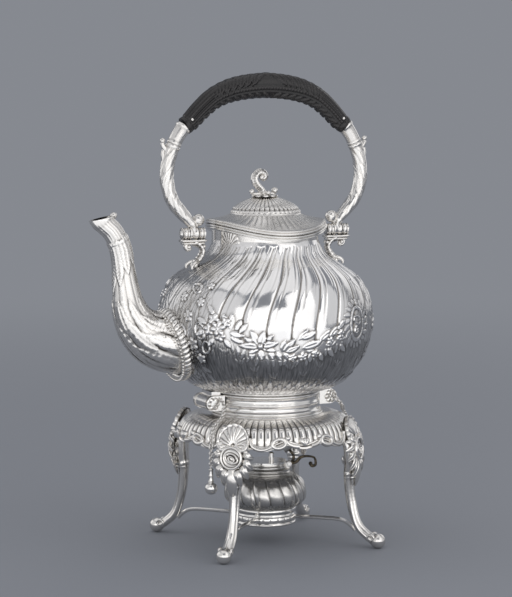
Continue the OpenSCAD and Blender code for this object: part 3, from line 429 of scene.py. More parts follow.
def strokes(name, bright, dark, rough):
    """Chased silver with upright strokes on the belly and swirled streaks by the spout, on grounds darkened
    with painted shade.
    """
    nodes = Nodes(metal(name, bright, dark, rough, 0.0003, 0.1))
    shader = nodes.shader
    hairlines = shader.inputs["Normal"].links[0].from_socket
    silver = shader.inputs["Base Color"].links[0].from_socket

    def streaks(scale, stretch, low, high):
        """Noise drawn out along the flutes' run, made steeper between two levels."""
        climb = nodes.sum("MULTIPLY", nodes.mark("climb"), stretch)
        flow = {"X": nodes.mark("flow_x"), "Y": nodes.mark("flow_y"), "Z": climb}
        return nodes.level(nodes.noise(scale, 2.0, at=nodes.add("CombineXYZ", flow)), low, high)

    belly = nodes.sum("MULTIPLY", streaks(62.0, 0.16, 0.32, 0.66), nodes.mark("belly"))
    swirl = nodes.sum("MULTIPLY", streaks(38.0, 0.14, 0.3, 0.7), nodes.mark("swirl"))
    height = nodes.sum("MULTIPLY_ADD", swirl, 0.8, belly)
    bump = {"Strength": 0.9, "Distance": 0.0002, "Height": height, "Normal": hairlines}
    # Painted shade: the belly and the spout's side are darkened in the base colour, a little less on the
    # streaks' tops.
    below = nodes.sum("MULTIPLY", nodes.mark("belly"), 0.72)
    shaded_ground = nodes.sum("MULTIPLY_ADD", nodes.mark("swirl"), 0.42, below)
    loss = nodes.sum("SUBTRACT", shaded_ground, nodes.sum("MULTIPLY", height, 0.3))
    keep = nodes.sum("SUBTRACT", 1.0, loss)
    tone = nodes.add("CombineXYZ", {"X": keep, "Y": keep, "Z": keep})
    streaked_and_shaded = nodes.mix(1.0, silver, tone, "MULTIPLY")
    nodes.feed(shader, {"Normal": nodes.add("Bump", bump), "Base Color": streaked_and_shaded})
    return nodes.owner


def wood(name):
    """Carved ebony: near black, with a fine grain along X and a brown rub on what stands out."""
    nodes = Nodes(bpy.data.materials.new(name))
    drawn_out = nodes.add("Mapping", {"Vector": nodes.place(), "Scale": (1.0, 7.0, 7.0)})
    grain = nodes.noise(190.0, 6.0, 0.65, drawn_out)
    tint = nodes.two_tone(grain, 0.3, (0.0022, 0.002, 0.0024), 0.75, (0.009, 0.0078, 0.0078))
    high = nodes.level(nodes.mark("cavity"), -0.15, 0.45)
    rub = nodes.mix(high, tint, (0.020, 0.0175, 0.018, 1))
    return nodes.dress(rub, nodes.level(grain, 0.0, 1.0, 0.22, 0.36), grain, 0.35, 0.0003)


def iron(name):
    """Blackened iron with the brassy rub of use."""
    nodes = Nodes(bpy.data.materials.new(name))
    cloud = nodes.noise(260.0, 4.0)
    tint = nodes.two_tone(cloud, 0.4, (0.03, 0.027, 0.024), 0.72, (0.26, 0.21, 0.14))
    return nodes.dress(tint, nodes.level(cloud, 0.0, 1.0, 0.3, 0.55), cloud, 0.3, 0.0002, 0.85)


def cotton(name, top, bottom):
    """Plaited cotton, scorched at its burning end."""
    nodes = Nodes(bpy.data.materials.new(name))
    height = nodes.add("SeparateXYZ", {"Vector": nodes.place()}, "Z")
    burn = nodes.level(height, bottom * MM, top * MM)
    fibre = nodes.noise(1500.0, 3.0)
    tint = nodes.mix(burn, (0.66, 0.6, 0.47, 1), (0.035, 0.028, 0.022, 1))
    shade = nodes.mix(0.4, tint, fibre.node.outputs["Color"], "MULTIPLY")
    return nodes.dress(shade, 0.95, fibre, 0.6, 0.0002)


POLISHED = metal("silver polished", (0.86, 0.845, 0.82), (0.16, 0.145, 0.125), 0.13, 0.0002)
CHASED = metal("silver chased", (0.84, 0.82, 0.79), (0.06, 0.052, 0.044), 0.15, 0.0003)
SATIN = metal("silver satin", (0.86, 0.84, 0.81), (0.07, 0.06, 0.05), 0.27, 0.0004, 0.2)
BODY = strokes("silver chased body", (0.92, 0.91, 0.90), (0.28, 0.26, 0.24), 0.12)
DARK = metal("silver dark", (0.68, 0.665, 0.64), (0.09, 0.08, 0.07), 0.22, 0.0004, 0.2, 0.85)
EBONY = wood("ebony carved")
IRON = iron("iron blackened")
SLOTS = {
    "silver_polished": POLISHED, "silver_chased": CHASED, "silver_dark": DARK, "ebony": EBONY,
    "black_iron": IRON
}


# The kettle's body

class Field:
    """Heights over a surface. angles are degrees across it, and along is millimetres up it.
    arc gives the millimetres in a degree on each row."""

    def __init__(self, angles, along, arc):
        self.angles, self.along, self.arc = np.ravel(angles), np.ravel(along), np.ravel(arc)
        self.h = np.zeros((len(self.along), len(self.angles)))

    def lay(self, angle, place, reach, form):
        """Lays form(x, y) on top of what is there, with a sunk line round it."""
        rows = np.flatnonzero(np.abs(self.along - place) < reach)
        if not len(rows):
            return
        off = self.angles - angle
        columns = np.flatnonzero(np.abs(off) * self.arc[rows].min() < reach)
        if not len(columns):
            return
        x = off[columns][None, :] * self.arc[rows][:, None]
        f = form(x, (self.along[rows] - place)[:, None] + 0 * x)
        where = np.ix_(rows, columns)
        on = f > 0.02
        wide = on.copy()
        wide[1:] |= on[:-1]
        wide[:-1] |= on[1:]
        wide[:, 1:] |= on[:, :-1]
        wide[:, :-1] |= on[:, 1:]
        old = self.h[where]
        self.h[where] = np.where(on, f + 0.25 * old, np.where(wide, 0.5 * old - 0.1, old))


# The body's outline, from the foot up, as (radius, height)
BODY_KNOTS = [
    (50, 133), (57, 134.6), (67.5, 140.5), (76.7, 150), (84.9, 163), (90.1, 179), (91.5, 193), (89.7, 208),
    (84.7, 220), (77, 229.5), (66, 237.5), (57.9, 242.7), (52.2, 246.9), (48.5, 251.2), (46.3, 255.6),
    (44.9, 260)
]
FLUTES = 27
# How far the flutes swing between the bend's start and the neck, in degrees, and over what height
FLUTE_SWING, BEND_Z, BEND_RISE = 21.5, 185, 70
# The height at which the vessel is split in two pieces
BODY_SEAM = 200
# The garland's middle line: azimuth and height
GARLAND = [
    (-163, 190), (-154, 194), (-146, 196), (-138, 192), (-129, 184.5), (-120, 178), (-111, 175.5),
    (-101, 175), (-92, 177), (-84, 180.5), (-77, 184), (-70, 187), (-62, 189)
]
# Roses and small flowers of the garland: azimuth, height, radius, petals, turn
ROSES = [
    (-100.8, 168.8, 3.8, 5, 0), (-94.9, 169.2, 4.2, 5, 30), (-87.8, 171.4, 3.8, 5, 10),
    (-79.5, 181.5, 3.6, 5, 0), (-72.5, 186.5, 3.8, 5, 20), (-139.5, 186.3, 4.8, 5, 0),
    (-145.8, 191.4, 5.2, 5, 20), (-136.3, 197.4, 4.6, 5, 40), (-143, 199.4, 5.4, 5, 0),
    (-140.6, 192.6, 6.8, 6, 12)
]
# Leaves and petals of the garland: where each starts, where its tip lies, and its width
LEAVES = [
    (-134.7, 192.9, -137.5, 205.0, 5.2), (-133.5, 192.5, -132.4, 205.0, 4.8), (-131, 191, -127.2, 200, 4.6),
    (-133.5, 186, -127, 180.8, 4.6), (-137, 184, -134, 176.4, 4.2), (-143, 184, -147, 177.8, 4.4),
    (-148, 190, -154, 186.6, 4.6), (-147.5, 196, -153.2, 200.6, 4.4), (-143, 203, -146.5, 211, 4.2),
    (-134, 189.5, -126.4, 186.4, 5.2), (-129, 189.5, -124.6, 196.6, 4.2), (-122.4, 175.5, -123, 167.4, 4.8),
    (-117.7, 175.5, -117.7, 166.8, 5.2), (-112.8, 175.5, -111.7, 167.4, 4.8),
    (-106.5, 174.3, -105, 183.4, 5.2), (-106, 174.5, -99.2, 184, 4.8), (-104.5, 173.5, -97.2, 178.0, 4.8),
    (-105.5, 172.5, -101.2, 166.4, 4.2), (-109, 173.8, -107.2, 166.8, 4.2), (-98, 184, -92.6, 191.6, 4.4),
    (-97, 184.8, -88.2, 188.6, 5.0), (-93, 175, -86.3, 170.6, 4.6), (-95.8, 176.8, -84.9, 180.4, 6.4),
    (-86, 182, -80, 189.4, 4.8), (-84.5, 183.0, -76.3, 186.6, 5.2), (-80.5, 184.5, -74, 192.2, 4.8),
    (-82, 178, -75.3, 179.4, 4.6), (-78, 187, -70.8, 189.4, 4.6), (-75, 190, -69.4, 197, 4.4),
    (-75, 183.5, -69.3, 182.2, 4.4), (-72, 177.5, -67.8, 170.6, 4.2), (-80, 175, -76, 167.4, 4.2),
    (-85, 172, -83, 164.6, 3.8), (-91, 172, -90.4, 164.2, 3.8)
]
# The middle of the cartouche
CARTOUCHE = (-58.7, 193)
# The lily's heart, and its petals: where each tip lies, and its width
LILY = (-118, 178.6)
LILY_TIPS = [
    (-124.2, 172.6, 4.4), (-110.4, 174.6, 4.6), (-126.6, 186.0, 5.0), (-111.4, 188.0, 4.8),
    (-129.2, 179.2, 5.6), (-108.9, 181.6, 5.6), (-122.9, 191.6, 5.6), (-116.0, 191.2, 6.4)
]


def garland_height(az):
    return np.interp(az, *zip(*GARLAND))


def flute_turn(z):
    """How far a flute has swung to the left by the height z, in degrees."""
    return FLUTE_SWING * (1 - np.clip((z - BEND_Z) / BEND_RISE, 0, 1) ** 2)


def lobes(az, z, r, deep):
    """Broad, softly rounded lobes between narrow grooves, with a fine second line on each near the neck."""
    phase = ((az + flute_turn(z)) * FLUTES / 360) % 1
    pitch = 2 * math.pi * r / FLUTES
    groove = bell(np.minimum(phase, 1 - phase) * pitch, 0, 0.95)
    second = bell((phase - 0.27) * pitch, 0, 0.8) * ramp(z, 190, 222)
    third = bell((phase - 0.72) * pitch, 0, 0.7) * ramp(z, 214, 236)
    arch = (2 * phase - 1) ** 2
    return -deep * (0.48 * arch + 0.5 * groove + 0.2 * (phase - 0.5)) - 0.34 * second - 0.2 * third


def body_field(az, outline, along):
    """The ornament that stands on the body, as heights. The far side mirrors the near one."""
    r = outline[:, :1]
    # Below, a is an azimuth and g a height
    field = Field(-np.abs(az), along, r * math.pi / 180)

    def up(height):
        return float(np.interp(height, outline[:, 1], along))

    def arc(height):
        return float(np.interp(height, outline[:, 1], outline[:, 0])) * math.pi / 180

    def lay(a, height, reach, form):
        field.lay(a, up(height), reach, form)

    def spray(a, g, tip_a, tip_g, width, lift, bend=0.0):
        """A pointed leaf from one place to another."""
        dx, dy = (tip_a - a) * arc(g), up(tip_g) - up(g)
        size, angle = math.hypot(dx, dy), math.degrees(math.atan2(dy, dx))
        lay(a, g, size + 2, lambda x, y: petal(x, y, angle, size, width, lift, bend))

    def lean(height):
        """How far the flutes lean to the right at a height, in degrees from straight up."""
        u = min(max((height - 185) / 68, 0), 1)
        return math.degrees(math.atan(43 * u / 68 * arc(height) * 0.8))

    def base_leaves():
        """Two rows of pointed leaves that rise from the foot."""
        for k in range(57):
            a = -180 + 360 / 56 * (k - 0.5)
            spray(a, 134.5, a, 145.5 + 1.5 * (k % 3), 5.4, 0.7)
        for k in range(57):
            a = -180 + 360 / 56 * k
            spray(a, 134, a + 1.2, 142.6 + 1.2 * (k % 2), 5.2, 1.0)

    def hanging_leaves():
        for k in range(24):
            a = -152 + 3.7 * k
            g = garland_height(a) - 6
            spray(a, g, a + rng.normal(0, 1.6), g - 7 - 3 * rng.random(), 2.4 + rng.random(), 0.55)
        tufts = (
            (-137, 171), (-146, 169), (-101, 158), (-83, 158), (-92, 151), (-121, 156), (-110, 150),
            (-129, 162), (-70, 158)
        )
        for a, g in tufts:
            for fork in (-3.5, -1, 2):
                spray(a, g, a + fork, g + 5 + rng.random() * 2, 1.9, 0.4)

    def swirled_leaves():
        """Leaves that lie along the flutes, on the spout's side."""
        for _ in range(120):
            a = -180 + 38 * rng.random() ** 0.8
            g = 182 + 58 * rng.random()
            angle = math.radians(90 - lean(g) + rng.normal(0, 5))
            size = 10 + 9 * rng.random()
            tip_a = a - size * math.cos(angle) / arc(g) * 0.9
            spray(a, g, tip_a, g - size * math.sin(angle) * 0.8, 2.6 + 1.4 * rng.random(), 0.3, 0.05)
        for _ in range(46):
            a, g = -180 + 29 * rng.random(), 150 + 40 * rng.random()
            c, s = heading(rng.uniform(-150, -30))
            spray(a, g, a + 6 * c, g + 9 * s, 4 + rng.random(), 0.45, 0.1)

    def flowers_and_scrolls():
        flowers = (
            (-157, 178, 6.0), (-153, 166, 4.8), (-160, 201, 5.4), (-152.5, 213, 4.2), (-166, 216, 4.4),
            (-149, 226, 3.4)
        )
        for a, g, size in flowers:
            lay(a, g, size + 1, lambda x, y: flower(x, y, size, 5, 30, 1.3))
        scrolls = (
            (-151, 190, 6.5, 20, 1), (-166, 188, 7, 60, -1), (-158, 224, 5.5, 60, 1), (-148, 176, 5, -10, 1)
        )
        for a, g, size, turn, hand in scrolls:
            lay(a, g, 14, lambda x, y: ridge(x, y, c_scroll((0, 0), size, turn, hand), 1.7, 1.2))

    def cartouche():
        """An oval frame with scrolls inside and a wreath of leaves round it."""
        def frame_form(x, y):
            rim = 0.65 * dome((np.hypot(x / 9.2, y / 13.6) - 1) / 0.13)
            inner = ridge(x, y, c_scroll((0.4, 3.6), 4.6, 60), 1.7, 0.5)
            return np.maximum(rim, np.maximum(inner, ridge(x, y, curl((-0.6, -5.4), 3.6, 90, 430), 1.5, 0.7)))

        middle_a, middle_g = CARTOUCHE
        for k in range(20):
            turn = math.radians(k * 18)
            a, g = middle_a + 6.3 * math.cos(turn), middle_g + 13.4 * math.sin(turn)
            spray(a, g, a + 6.2 * math.cos(turn + 0.5), g + 8.5 * math.sin(turn + 0.5), 4.2, 0.55, 0.1)
        lay(*CARTOUCHE, 17, frame_form)

    def rear_leaves():
        for row in range(7):
            for k in range(8):
                a, g = -46 + 6.6 * k + 3.3 * (row % 2), 153 + 11 * row
                c, s = heading(70 if (k + row) % 2 else 115)
                spray(a, g, a + 8 * c, g + 11 * s, 4.6, 0.5, 0.08)
        for a, g in ((0, 199), (-31, 188), (-16, 176), (-38, 165)):
            lay(a, g, 8, lambda x, y: flower(x, y, 6.2, 6, 10, 1.2))

    base_leaves()
    hanging_leaves()
    swirled_leaves()
    flowers_and_scrolls()
    rear_leaves()
    cartouche()
    for a, g, tip_a, tip_g, width in LEAVES:
        spray(a, g, tip_a, tip_g, width * 1.08, 1.15, 0.06)
    for tip_a, tip_g, width in LILY_TIPS:
        spray(*LILY, tip_a, tip_g, width * 1.1, 1.35)
    lay(*LILY, 4, lambda x, y: 1.9 * dome(np.hypot(x, y) / 2.4))
    for a, g, size, petals, turn in ROSES:
        lay(a, g, size + 1, lambda x, y: flower(x, y, size, petals, turn, 1.5))
    return field.h


def body_relief(az, outline, along):
    """Heights of the swirled flutes with the ornament on them, and the masks of the belly and of the spout's
    side, which take the strokes and the painted shade.
    """
    r, z = outline[:, :1], outline[:, 1:]
    side = -np.abs(az)
    line = garland_height(side)
    below = ramp(z, line - 5, line + 4)
    near_spout = ramp(-side, 140, 156) * ramp(z, 150, 165)
    phase = ((az + flute_turn(z)) * FLUTES / 360) % 1
    head = 255.2 + 1.5 * dome(2 * phase - 1)
    live = ramp(head - z, -0.3, 0.5)
    deep = 1.5 * (1 - 0.5 * ramp(z, 226, 252))
    fluted = lobes(az, z, r, deep) * below * (1 - 0.45 * near_spout) * live + 0.08 * live * ramp(z, 249, 253)
    laid = body_field(az, outline, along)
    covered = ramp(laid, 0.05, 0.5)
    rear = ramp(side, -70, -60) * (1 - ramp(z, 215, 235))
    # The ground below the garland and at the back, which takes the strokes and the painted shade.
    shaded_ground = np.maximum(1 - ramp(z, line - 16, line - 3), rear * 0.6)
    belly = shaded_ground * ramp(z, 140, 147) * (1 - 0.75 * covered)
    return fluted * (1 - 0.8 * covered) + laid, belly, near_spout * (1 - 0.6 * covered)


def make_body():
    """The vessel in two pieces that meet at a seam, each closed by a wall and the lower one by a bottom."""
    rows, columns, wall = 232, 680, 3.2
    outline, along = even(smooth(BODY_KNOTS, 6), rows)
    az = azimuths(columns)
    a = np.radians(az)
    height, belly, swirl = body_relief(az, outline, along)
    cavity = height - blur(height, 5)
    d = np.gradient(outline, axis=0)
    d /= np.linalg.norm(d, axis=1)[:, None]
    outer = turned(outline[:, :1] + height * d[:, 1:], outline[:, 1:] - height * d[:, :1], a)
    inner = turned(outline[:, :1] - wall * d[:, 1:], outline[:, 1:] + wall * d[:, :1], a)
    bottom = turned(*np.array([(24, 134.6), (1, 134.6), (1, 133), (25, 133), (49, 133)]).T[..., None], a)
    cut = int(np.searchsorted(outline[:, 1], BODY_SEAM))
    flow = np.radians(az + flute_turn(outline[:, 1:]))
    climb = along[:, None] / 100 + 0 * az
    marks = {"belly": belly, "swirl": swirl, "flow_x": np.cos(flow), "flow_y": np.sin(flow), "climb": climb}
    for name, first, last, closing, nodes in (
        ("kettle_body_chased", 0, cut, bottom, ["kettle_body"]),
        ("kettle_shoulder_chased", cut, rows - 1, bottom[:0], ["kettle_shoulder", "kettle_flutes"])
    ):
        middle = slice(first, last + 1)
        back = list(range(last, first, -14)) + [first]
        unseen = np.zeros((len(back) + len(closing), columns))
        p = np.vstack([outer[middle], inner[back], closing])
        shape = Shape().grid(p, None, True, cavity=np.vstack([cavity[middle], unseen]))
        piece = shape.make(name, "kettle", "silver_chased", nodes, BODY)
        for key, values in marks.items():
            shape.mark(piece, key, np.vstack([values[middle], unseen]))


make_body()


# The rim's wave: its height, and how wide the level stretch at the hinge is, in degrees
RIM_WAVE, LEVEL_SPAN = 4.4, 13.0


def wave(az):
    """How far the rim and the lid's edge rise above their mean height. It dies out at the hinge, behind."""
    return RIM_WAVE * np.cos(np.radians(2 * az)) * (1 - bell(az, 0, LEVEL_SPAN))


def waved(outline, columns, weight, relief=None):
    """A turned form whose rows follow the wave of the rim by their weights."""
    weight = np.asarray(weight, float)
    return lathe(Shape(), outline, columns, relief, times=5, lift=lambda az, row: wave(az) * weight[row])


def make_neck():
    """The neck above the flutes' round heads, with a fan and a pilaster at the spout's side."""
    rows, outside, inside = 44, 44.8, 43.2
    zs = np.linspace(250.5, 268, rows)
    loop = [(outside, z) for z in zs] + [(inside, z) for z in zs[::-6]]
    weight = [ramp(z, 252, 266) for _, z in loop]
    mm_per_degree = 44.6 * math.pi / 180

    def relief(az, row):
        z = np.where(row < rows, zs[np.clip(row, 0, rows - 1)], 0.0)
        x = (-np.abs(az) + 157) * mm_per_degree
        y = z - 255.5
        d, t = np.hypot(x, y), np.degrees(np.arctan2(y, x))
        rays = 0.35 + 0.65 * np.abs(np.cos(np.radians(t * 9)))
        fan = np.where((y > -1.5) & (d < 11), rays * ramp(11.5 - d, 0.2, 1.6), 0)
        x = (-np.abs(az) + 169) * mm_per_degree
        pilaster = 1.3 * np.clip(1 - (x / 2.6) ** 4, 0, 1) * ramp(z, 250, 252)
        pilaster = pilaster * (0.75 + 0.25 * np.abs(np.cos(x * 1.5)))
        return np.where(row < rows, np.maximum(fan, pilaster), 0.0)

    waved(loop, 540, weight, relief).make("kettle_neck_chased", "kettle", "silver_chased", ["kettle_neck"])


make_neck()


def make_rim():
    """The rim's two round mouldings, which wave round the mouth."""
    loop = [
        (43.2, 265.2), (45.4, 264.6), (47.4, 264.5), (49.3, 264.8), (50.6, 265.5), (51.2, 266.3),
        (50.9, 267), (50.1, 267.3), (50.7, 267.6), (51.4, 268.1), (51.5, 268.7), (50.9, 269.3),
        (49.6, 269.55), (46, 269.55), (43.2, 269.55)
    ]
    shape = waved(loop, 240, np.ones(len(loop)))
    shape.make("kettle_rim_moulded", "kettle", "silver_polished", ["kettle_rim"], crease=75)


make_rim()


def make_lid():
    """The lid: a waved moulded edge, a fluted flare, a scalloped seam and a gadrooned dome."""
    flute_count, gadroon_count = 48, 40
    edge = [
        (43, 269.95), (48, 269.9), (50.8, 269.95), (51.5, 270.6), (51.5, 271.4), (50.8, 271.9),
        (50.2, 272.1), (50.7, 272.5), (50.8, 273.2), (50.1, 273.8), (49, 274.1)
    ]
    flare, _ = even(smooth([(48.4, 274.3), (44.6, 275.6), (40.4, 277.1), (35.4, 279), (31, 281.1)], 5), 26)
    seam = [(30.3, 281.4), (29.9, 281.9), (29.9, 282.6)]
    crown = [(29.8, 282.9), (27.2, 286.5), (22.6, 289.9), (15.6, 293.2), (9, 295.1), (4, 295.9)]
    crown, _ = even(smooth(crown, 6), 44)
    inside = [(0.6, 294.4), (12, 293.1), (21, 288.3), (28, 281), (38, 276.4), (43, 273.4)]
    rows = np.vstack([edge, flare, seam, crown, [(0.6, 295.9)], inside])
    flare_at = len(edge)
    seam_at = flare_at + len(flare)
    crown_at = seam_at + len(seam)
    crown_end = crown_at + len(crown)
    weight = np.r_[np.ones(flare_at), np.linspace(1, 0, len(flare)) ** 1.3, np.zeros(len(rows) - seam_at)]
    weight[-2:] = 0.3, 0.9

    def relief(az, row):
        on_flare = (row >= flare_at) & (row < seam_at)
        on_crown = (row >= crown_at) & (row < crown_end)
        t = (row - flare_at) / (seam_at - flare_at)
        flutes = 0.32 * (np.abs(np.sin(math.pi * az * flute_count / 360)) ** 0.5 - 1) * np.clip(4 * t, 0, 1)
        cell = ((az * gadroon_count / 360) % 1) - 0.5
        t = (row - crown_at) / (crown_end - crown_at)
        gadroon = 0.55 * (np.abs(np.cos(math.pi * cell)) ** 0.6 - 1) * (1 - 0.5 * ramp(t, 0.6, 1.0))
        scallop = 0.95 * ramp(t - 0.10 - 0.07 * np.abs(cell * 2) ** 2, 0, 0.03)
        lip = 0.6 * bell(t, 0.045, 0.03)
        return np.where(on_flare, flutes, 0) + np.where(on_crown, gadroon + scallop * 0.5 + lip, 0)

    waved(rows, 480, weight, relief).make("lid_fluted", "lid", "silver_chased", ["lid_cover"], SATIN)


make_lid()


def make_finial():
    """The lid's knob: a hooked acanthus scroll on a small rocaille base."""
    z = 295.9
    shape = Shape()
    base = [(1.2, -0.2), (9, -0.2), (11.6, 0.4), (10.6, 1.4), (7.6, 1.9), (4, 2.6), (1.2, 2.8)]

    def lobed(az, row):
        return 0.35 * np.cos(np.radians(az * 10)) * ((row > 3) & (row < 14))

    lathe(shape, smooth([(r, z + h) for r, h in base], 3), 64, lobed, False, (-1.2, 0))
    tube(shape, [(0, 0, z - 5), (0, 0, z + 1)], 1.45, 16, up=(1, 0, 0))

    def stem(a, along, path):
        t = along / along[-1]
        furrows = 0.55 * np.cos(np.radians(a * 3)) * ramp(t, 0.05, 0.2) * (1 - 0.4 * t)
        return furrows - 0.15 * np.abs(np.sin(along * 1.6))

    scroll = [
        (0.6, 1.2, 3.3, 4.2), (-2.2, 3.0, 3.0, 3.9), (-4.6, 6.4, 2.8, 3.7), (-8.0, 9.8, 2.8, 3.8),
        (-10.4, 14.2, 2.9, 3.9), (-9.6, 18.4, 2.8, 3.8), (-5.8, 21.0, 2.7, 3.5), (-1.6, 20.0, 2.4, 3.2),
        (0.1, 17.0, 2.2, 2.9), (-1.8, 14.9, 1.9, 2.4), (-4.2, 15.8, 1.4, 1.8)
    ]
    sweep(shape, [(x, z + h, high, wide) for x, h, high, wide in scroll], 24, stem, 90, times=3)
    for x, h, r in ((-3.7, 16.4, 2.5), (8.4, 4.9, 2.9), (-12.8, 4.4, 2.3)):
        ball(shape, (x, 0, z + h), r)
    for side in (-1, 1):
        ball(shape, (-1, side * 7.4, z + 3.4), 2.1)
        arm = smooth([(-1, side * 2, z + 2), (-1, side * 5, z + 2), (-1, side * 7.4, z + 3.2)], 3)
        tube(shape, arm, 1.3, up=(1, 0, 0))
    for thin, arm in (
        (1.7, [(0, 0, z + 1.9), (4, 0, z + 1.8), (7.4, 0, z + 2.6), (8.8, 0, z + 5)]),
        (1.5, [(-3, 0, z + 1.9), (-8, 0, z + 1.8), (-11.6, 0, z + 2.4), (-13, 0, z + 4.6)])
    ):
        tube(shape, smooth(arm, 3), [1.9] * 5 + [thin] * 5, 12, up=(0, 1, 0))
    shape.make("finial_scroll", "lid", "silver_chased", ["finial"])


make_finial()


# The spout

def make_spout():
    """The swan-necked spout: twisted ribs, leaves on its bulge and a leafy wrap below its mouth."""
    ribs = 11
    knots = [
        (-80, 175.2, 26.8, 24.6), (-92, 177, 26, 23.5), (-106, 182, 23, 20.5), (-118, 192, 18.2, 17),
        (-125, 206, 14.5, 13.6), (-127.6, 222, 11.5, 11), (-130, 243, 9.2, 8.8), (-133, 258, 9, 8.4),
        (-139, 269.5, 8.8, 8), (-145, 275.5, 8.8, 7.6), (-147.6, 278.6, 9.8, 7.2),
        (-148.4, 281.4, 10.8, 6.8)
    ]

    def relief(a, along, path):
        total = along[-1]
        t = along / total
        z, size = path[:, 1:2], path[:, 2:3]
        turn = wrapped(a)
        phase = (a * ribs / 360 + 0.25 * np.sin(t * 5)) % 1
        rib = np.abs(np.sin(math.pi * phase)) ** 0.6 - 1
        h = rib * (0.5 + 0.35 * (1 - ramp(t, 0.1, 0.45))) * ramp(t, 0.0, 0.08) * (1 - ramp(z, 226, 246))
        orn = np.zeros_like(h)
        # Leaves that climb the bulge
        for centre in range(-180, 180, 45):
            for low, shift, length, width in ((0.03, 0, 34, 13), (0.17, 22.5, 30, 10), (0.30, 0, 26, 8)):
                off = wrapped(turn - centre - shift) / 180 * math.pi * size
                orn = np.maximum(orn, leaf(along - total * low, off, (0, 0), 0, length, width, 0.8, 0.12, 4))
        # A wrap of pointed leaves that hangs down from the mouth
        for centre, high, length, width in (
            (0, 262, 44, 13), (45, 263, 38, 11), (90, 264, 30, 11), (135, 265, 24, 10), (180, 265, 22, 10),
            (22, 264, 28, 8), (68, 265, 24, 8), (112, 266, 18, 8)
        ):
            start = np.interp(high, path[:, 1], along[:, 0])
            for side in (-1, 1):
                off = wrapped(turn - side * centre) / 180 * math.pi * size
                orn = np.maximum(orn, leaf(start - along, off, (0, 0), 0, length, width, 1.25, 0.0, 4))
        band = 1.2 * dome((z - 262.5) / 1.6)
        reeds = 0.1 * np.cos(np.radians(a * 20)) * ramp(z, 262, 268) * (1 - ramp(z, 277, 280))
        lip = 0.9 * ramp(t, 0.965, 0.995)
        covered = ramp(orn, 0.1, 0.7)
        return h * (1 - covered) + orn + 0.25 * band + reeds + lip * 0.8

    shape = Shape()
    sweep(shape, knots, 132, relief, 300, wall=1.3, times=6)
    # The ball behind the mouth
    ball(shape, (-138.2, 0, 283.2), 2.9)
    shape.make("spout_chased", "kettle", "silver_chased", ["spout", "spout_beak"])


make_spout()


def make_spout_collar():
    """The ring of slanting gadroons round the spout's root, with a beaded wire beside it."""
    shape = Shape()
    gadroons, beads = 44, 60
    ring_r, wire_r, bead_r = 28.6, 3.5, 1.15
    root_x, root_z, lean = -86.5, 174, -105.8
    c, s = heading(lean)

    def leaned(x, y, z):
        """A place of the upright ring, leaned over to the spout's root."""
        return np.stack(np.broadcast_arrays(x * c + z * s + root_x, y, -x * s + z * c + root_z), -1)

    a, b = circle(gadroons * 10), circle(20).T
    lobe = np.abs(np.sin(gadroons / 2 * a + 0.9 * np.sin(b))) ** 0.6
    h = 1.1 * (lobe - 1) * (0.6 + 0.4 * np.cos(b))
    wire = wire_r + h
    r = ring_r + wire * np.cos(b)
    shape.grid(leaned(r * np.cos(a), r * np.sin(a), wire * 1.25 * np.sin(b)), h, True, times=3)
    for t in circle(beads)[0]:
        ball(shape, leaned(30.2 * math.cos(t), 30.2 * math.sin(t), 5.4), bead_r, 5, 8)
    shape.make("spout_collar_gadrooned", "kettle", "silver_chased", ["spout_collar"])


make_spout_collar()


def make_kettle_foot():
    """The moulded foot ring, which stands in the stand's collar."""
    loop = [
        (41.2, 131), (46, 131), (47.4, 131.3), (48.4, 131.9), (48.2, 132.5), (49.2, 132.8), (49.6, 133.2),
        (41.2, 133.2)
    ]
    shape = Shape()
    lathe(shape, loop, 160)
    shape.make("kettle_foot_moulded", "kettle", "silver_polished", ["kettle_foot"], crease=75)


make_kettle_foot()


# The bail

# The rear pivot of the bail. The front one mirrors it
BAIL_X, BAIL_Z = 67.3, 266.5


def barrel(shape, x_from, x_to, grooves):
    """A turned barrel along X about the bail's pivot, with a bore for the pin."""
    r, bore = 5.0, 2.0
    x = np.linspace(x_from, x_to, 22)
    t = (x - x_from) / (x_to - x_from)
    turning = r - 0.55 * np.abs(np.sin(math.pi * grooves * t)) ** 4 - 0.5 * (np.abs(2 * t - 1) > 0.93)
    xs = np.r_[x, x_to, x_from][:, None]
    rs = np.r_[turning, bore, bore][:, None]
    a = circle(40)
    p = np.stack(np.broadcast_arrays(xs, rs * np.cos(a), BAIL_Z + rs * np.sin(a)), -1)
    return shape.grid(p, np.repeat((rs - r) * (rs > 3), 40, 1), True, times=2)


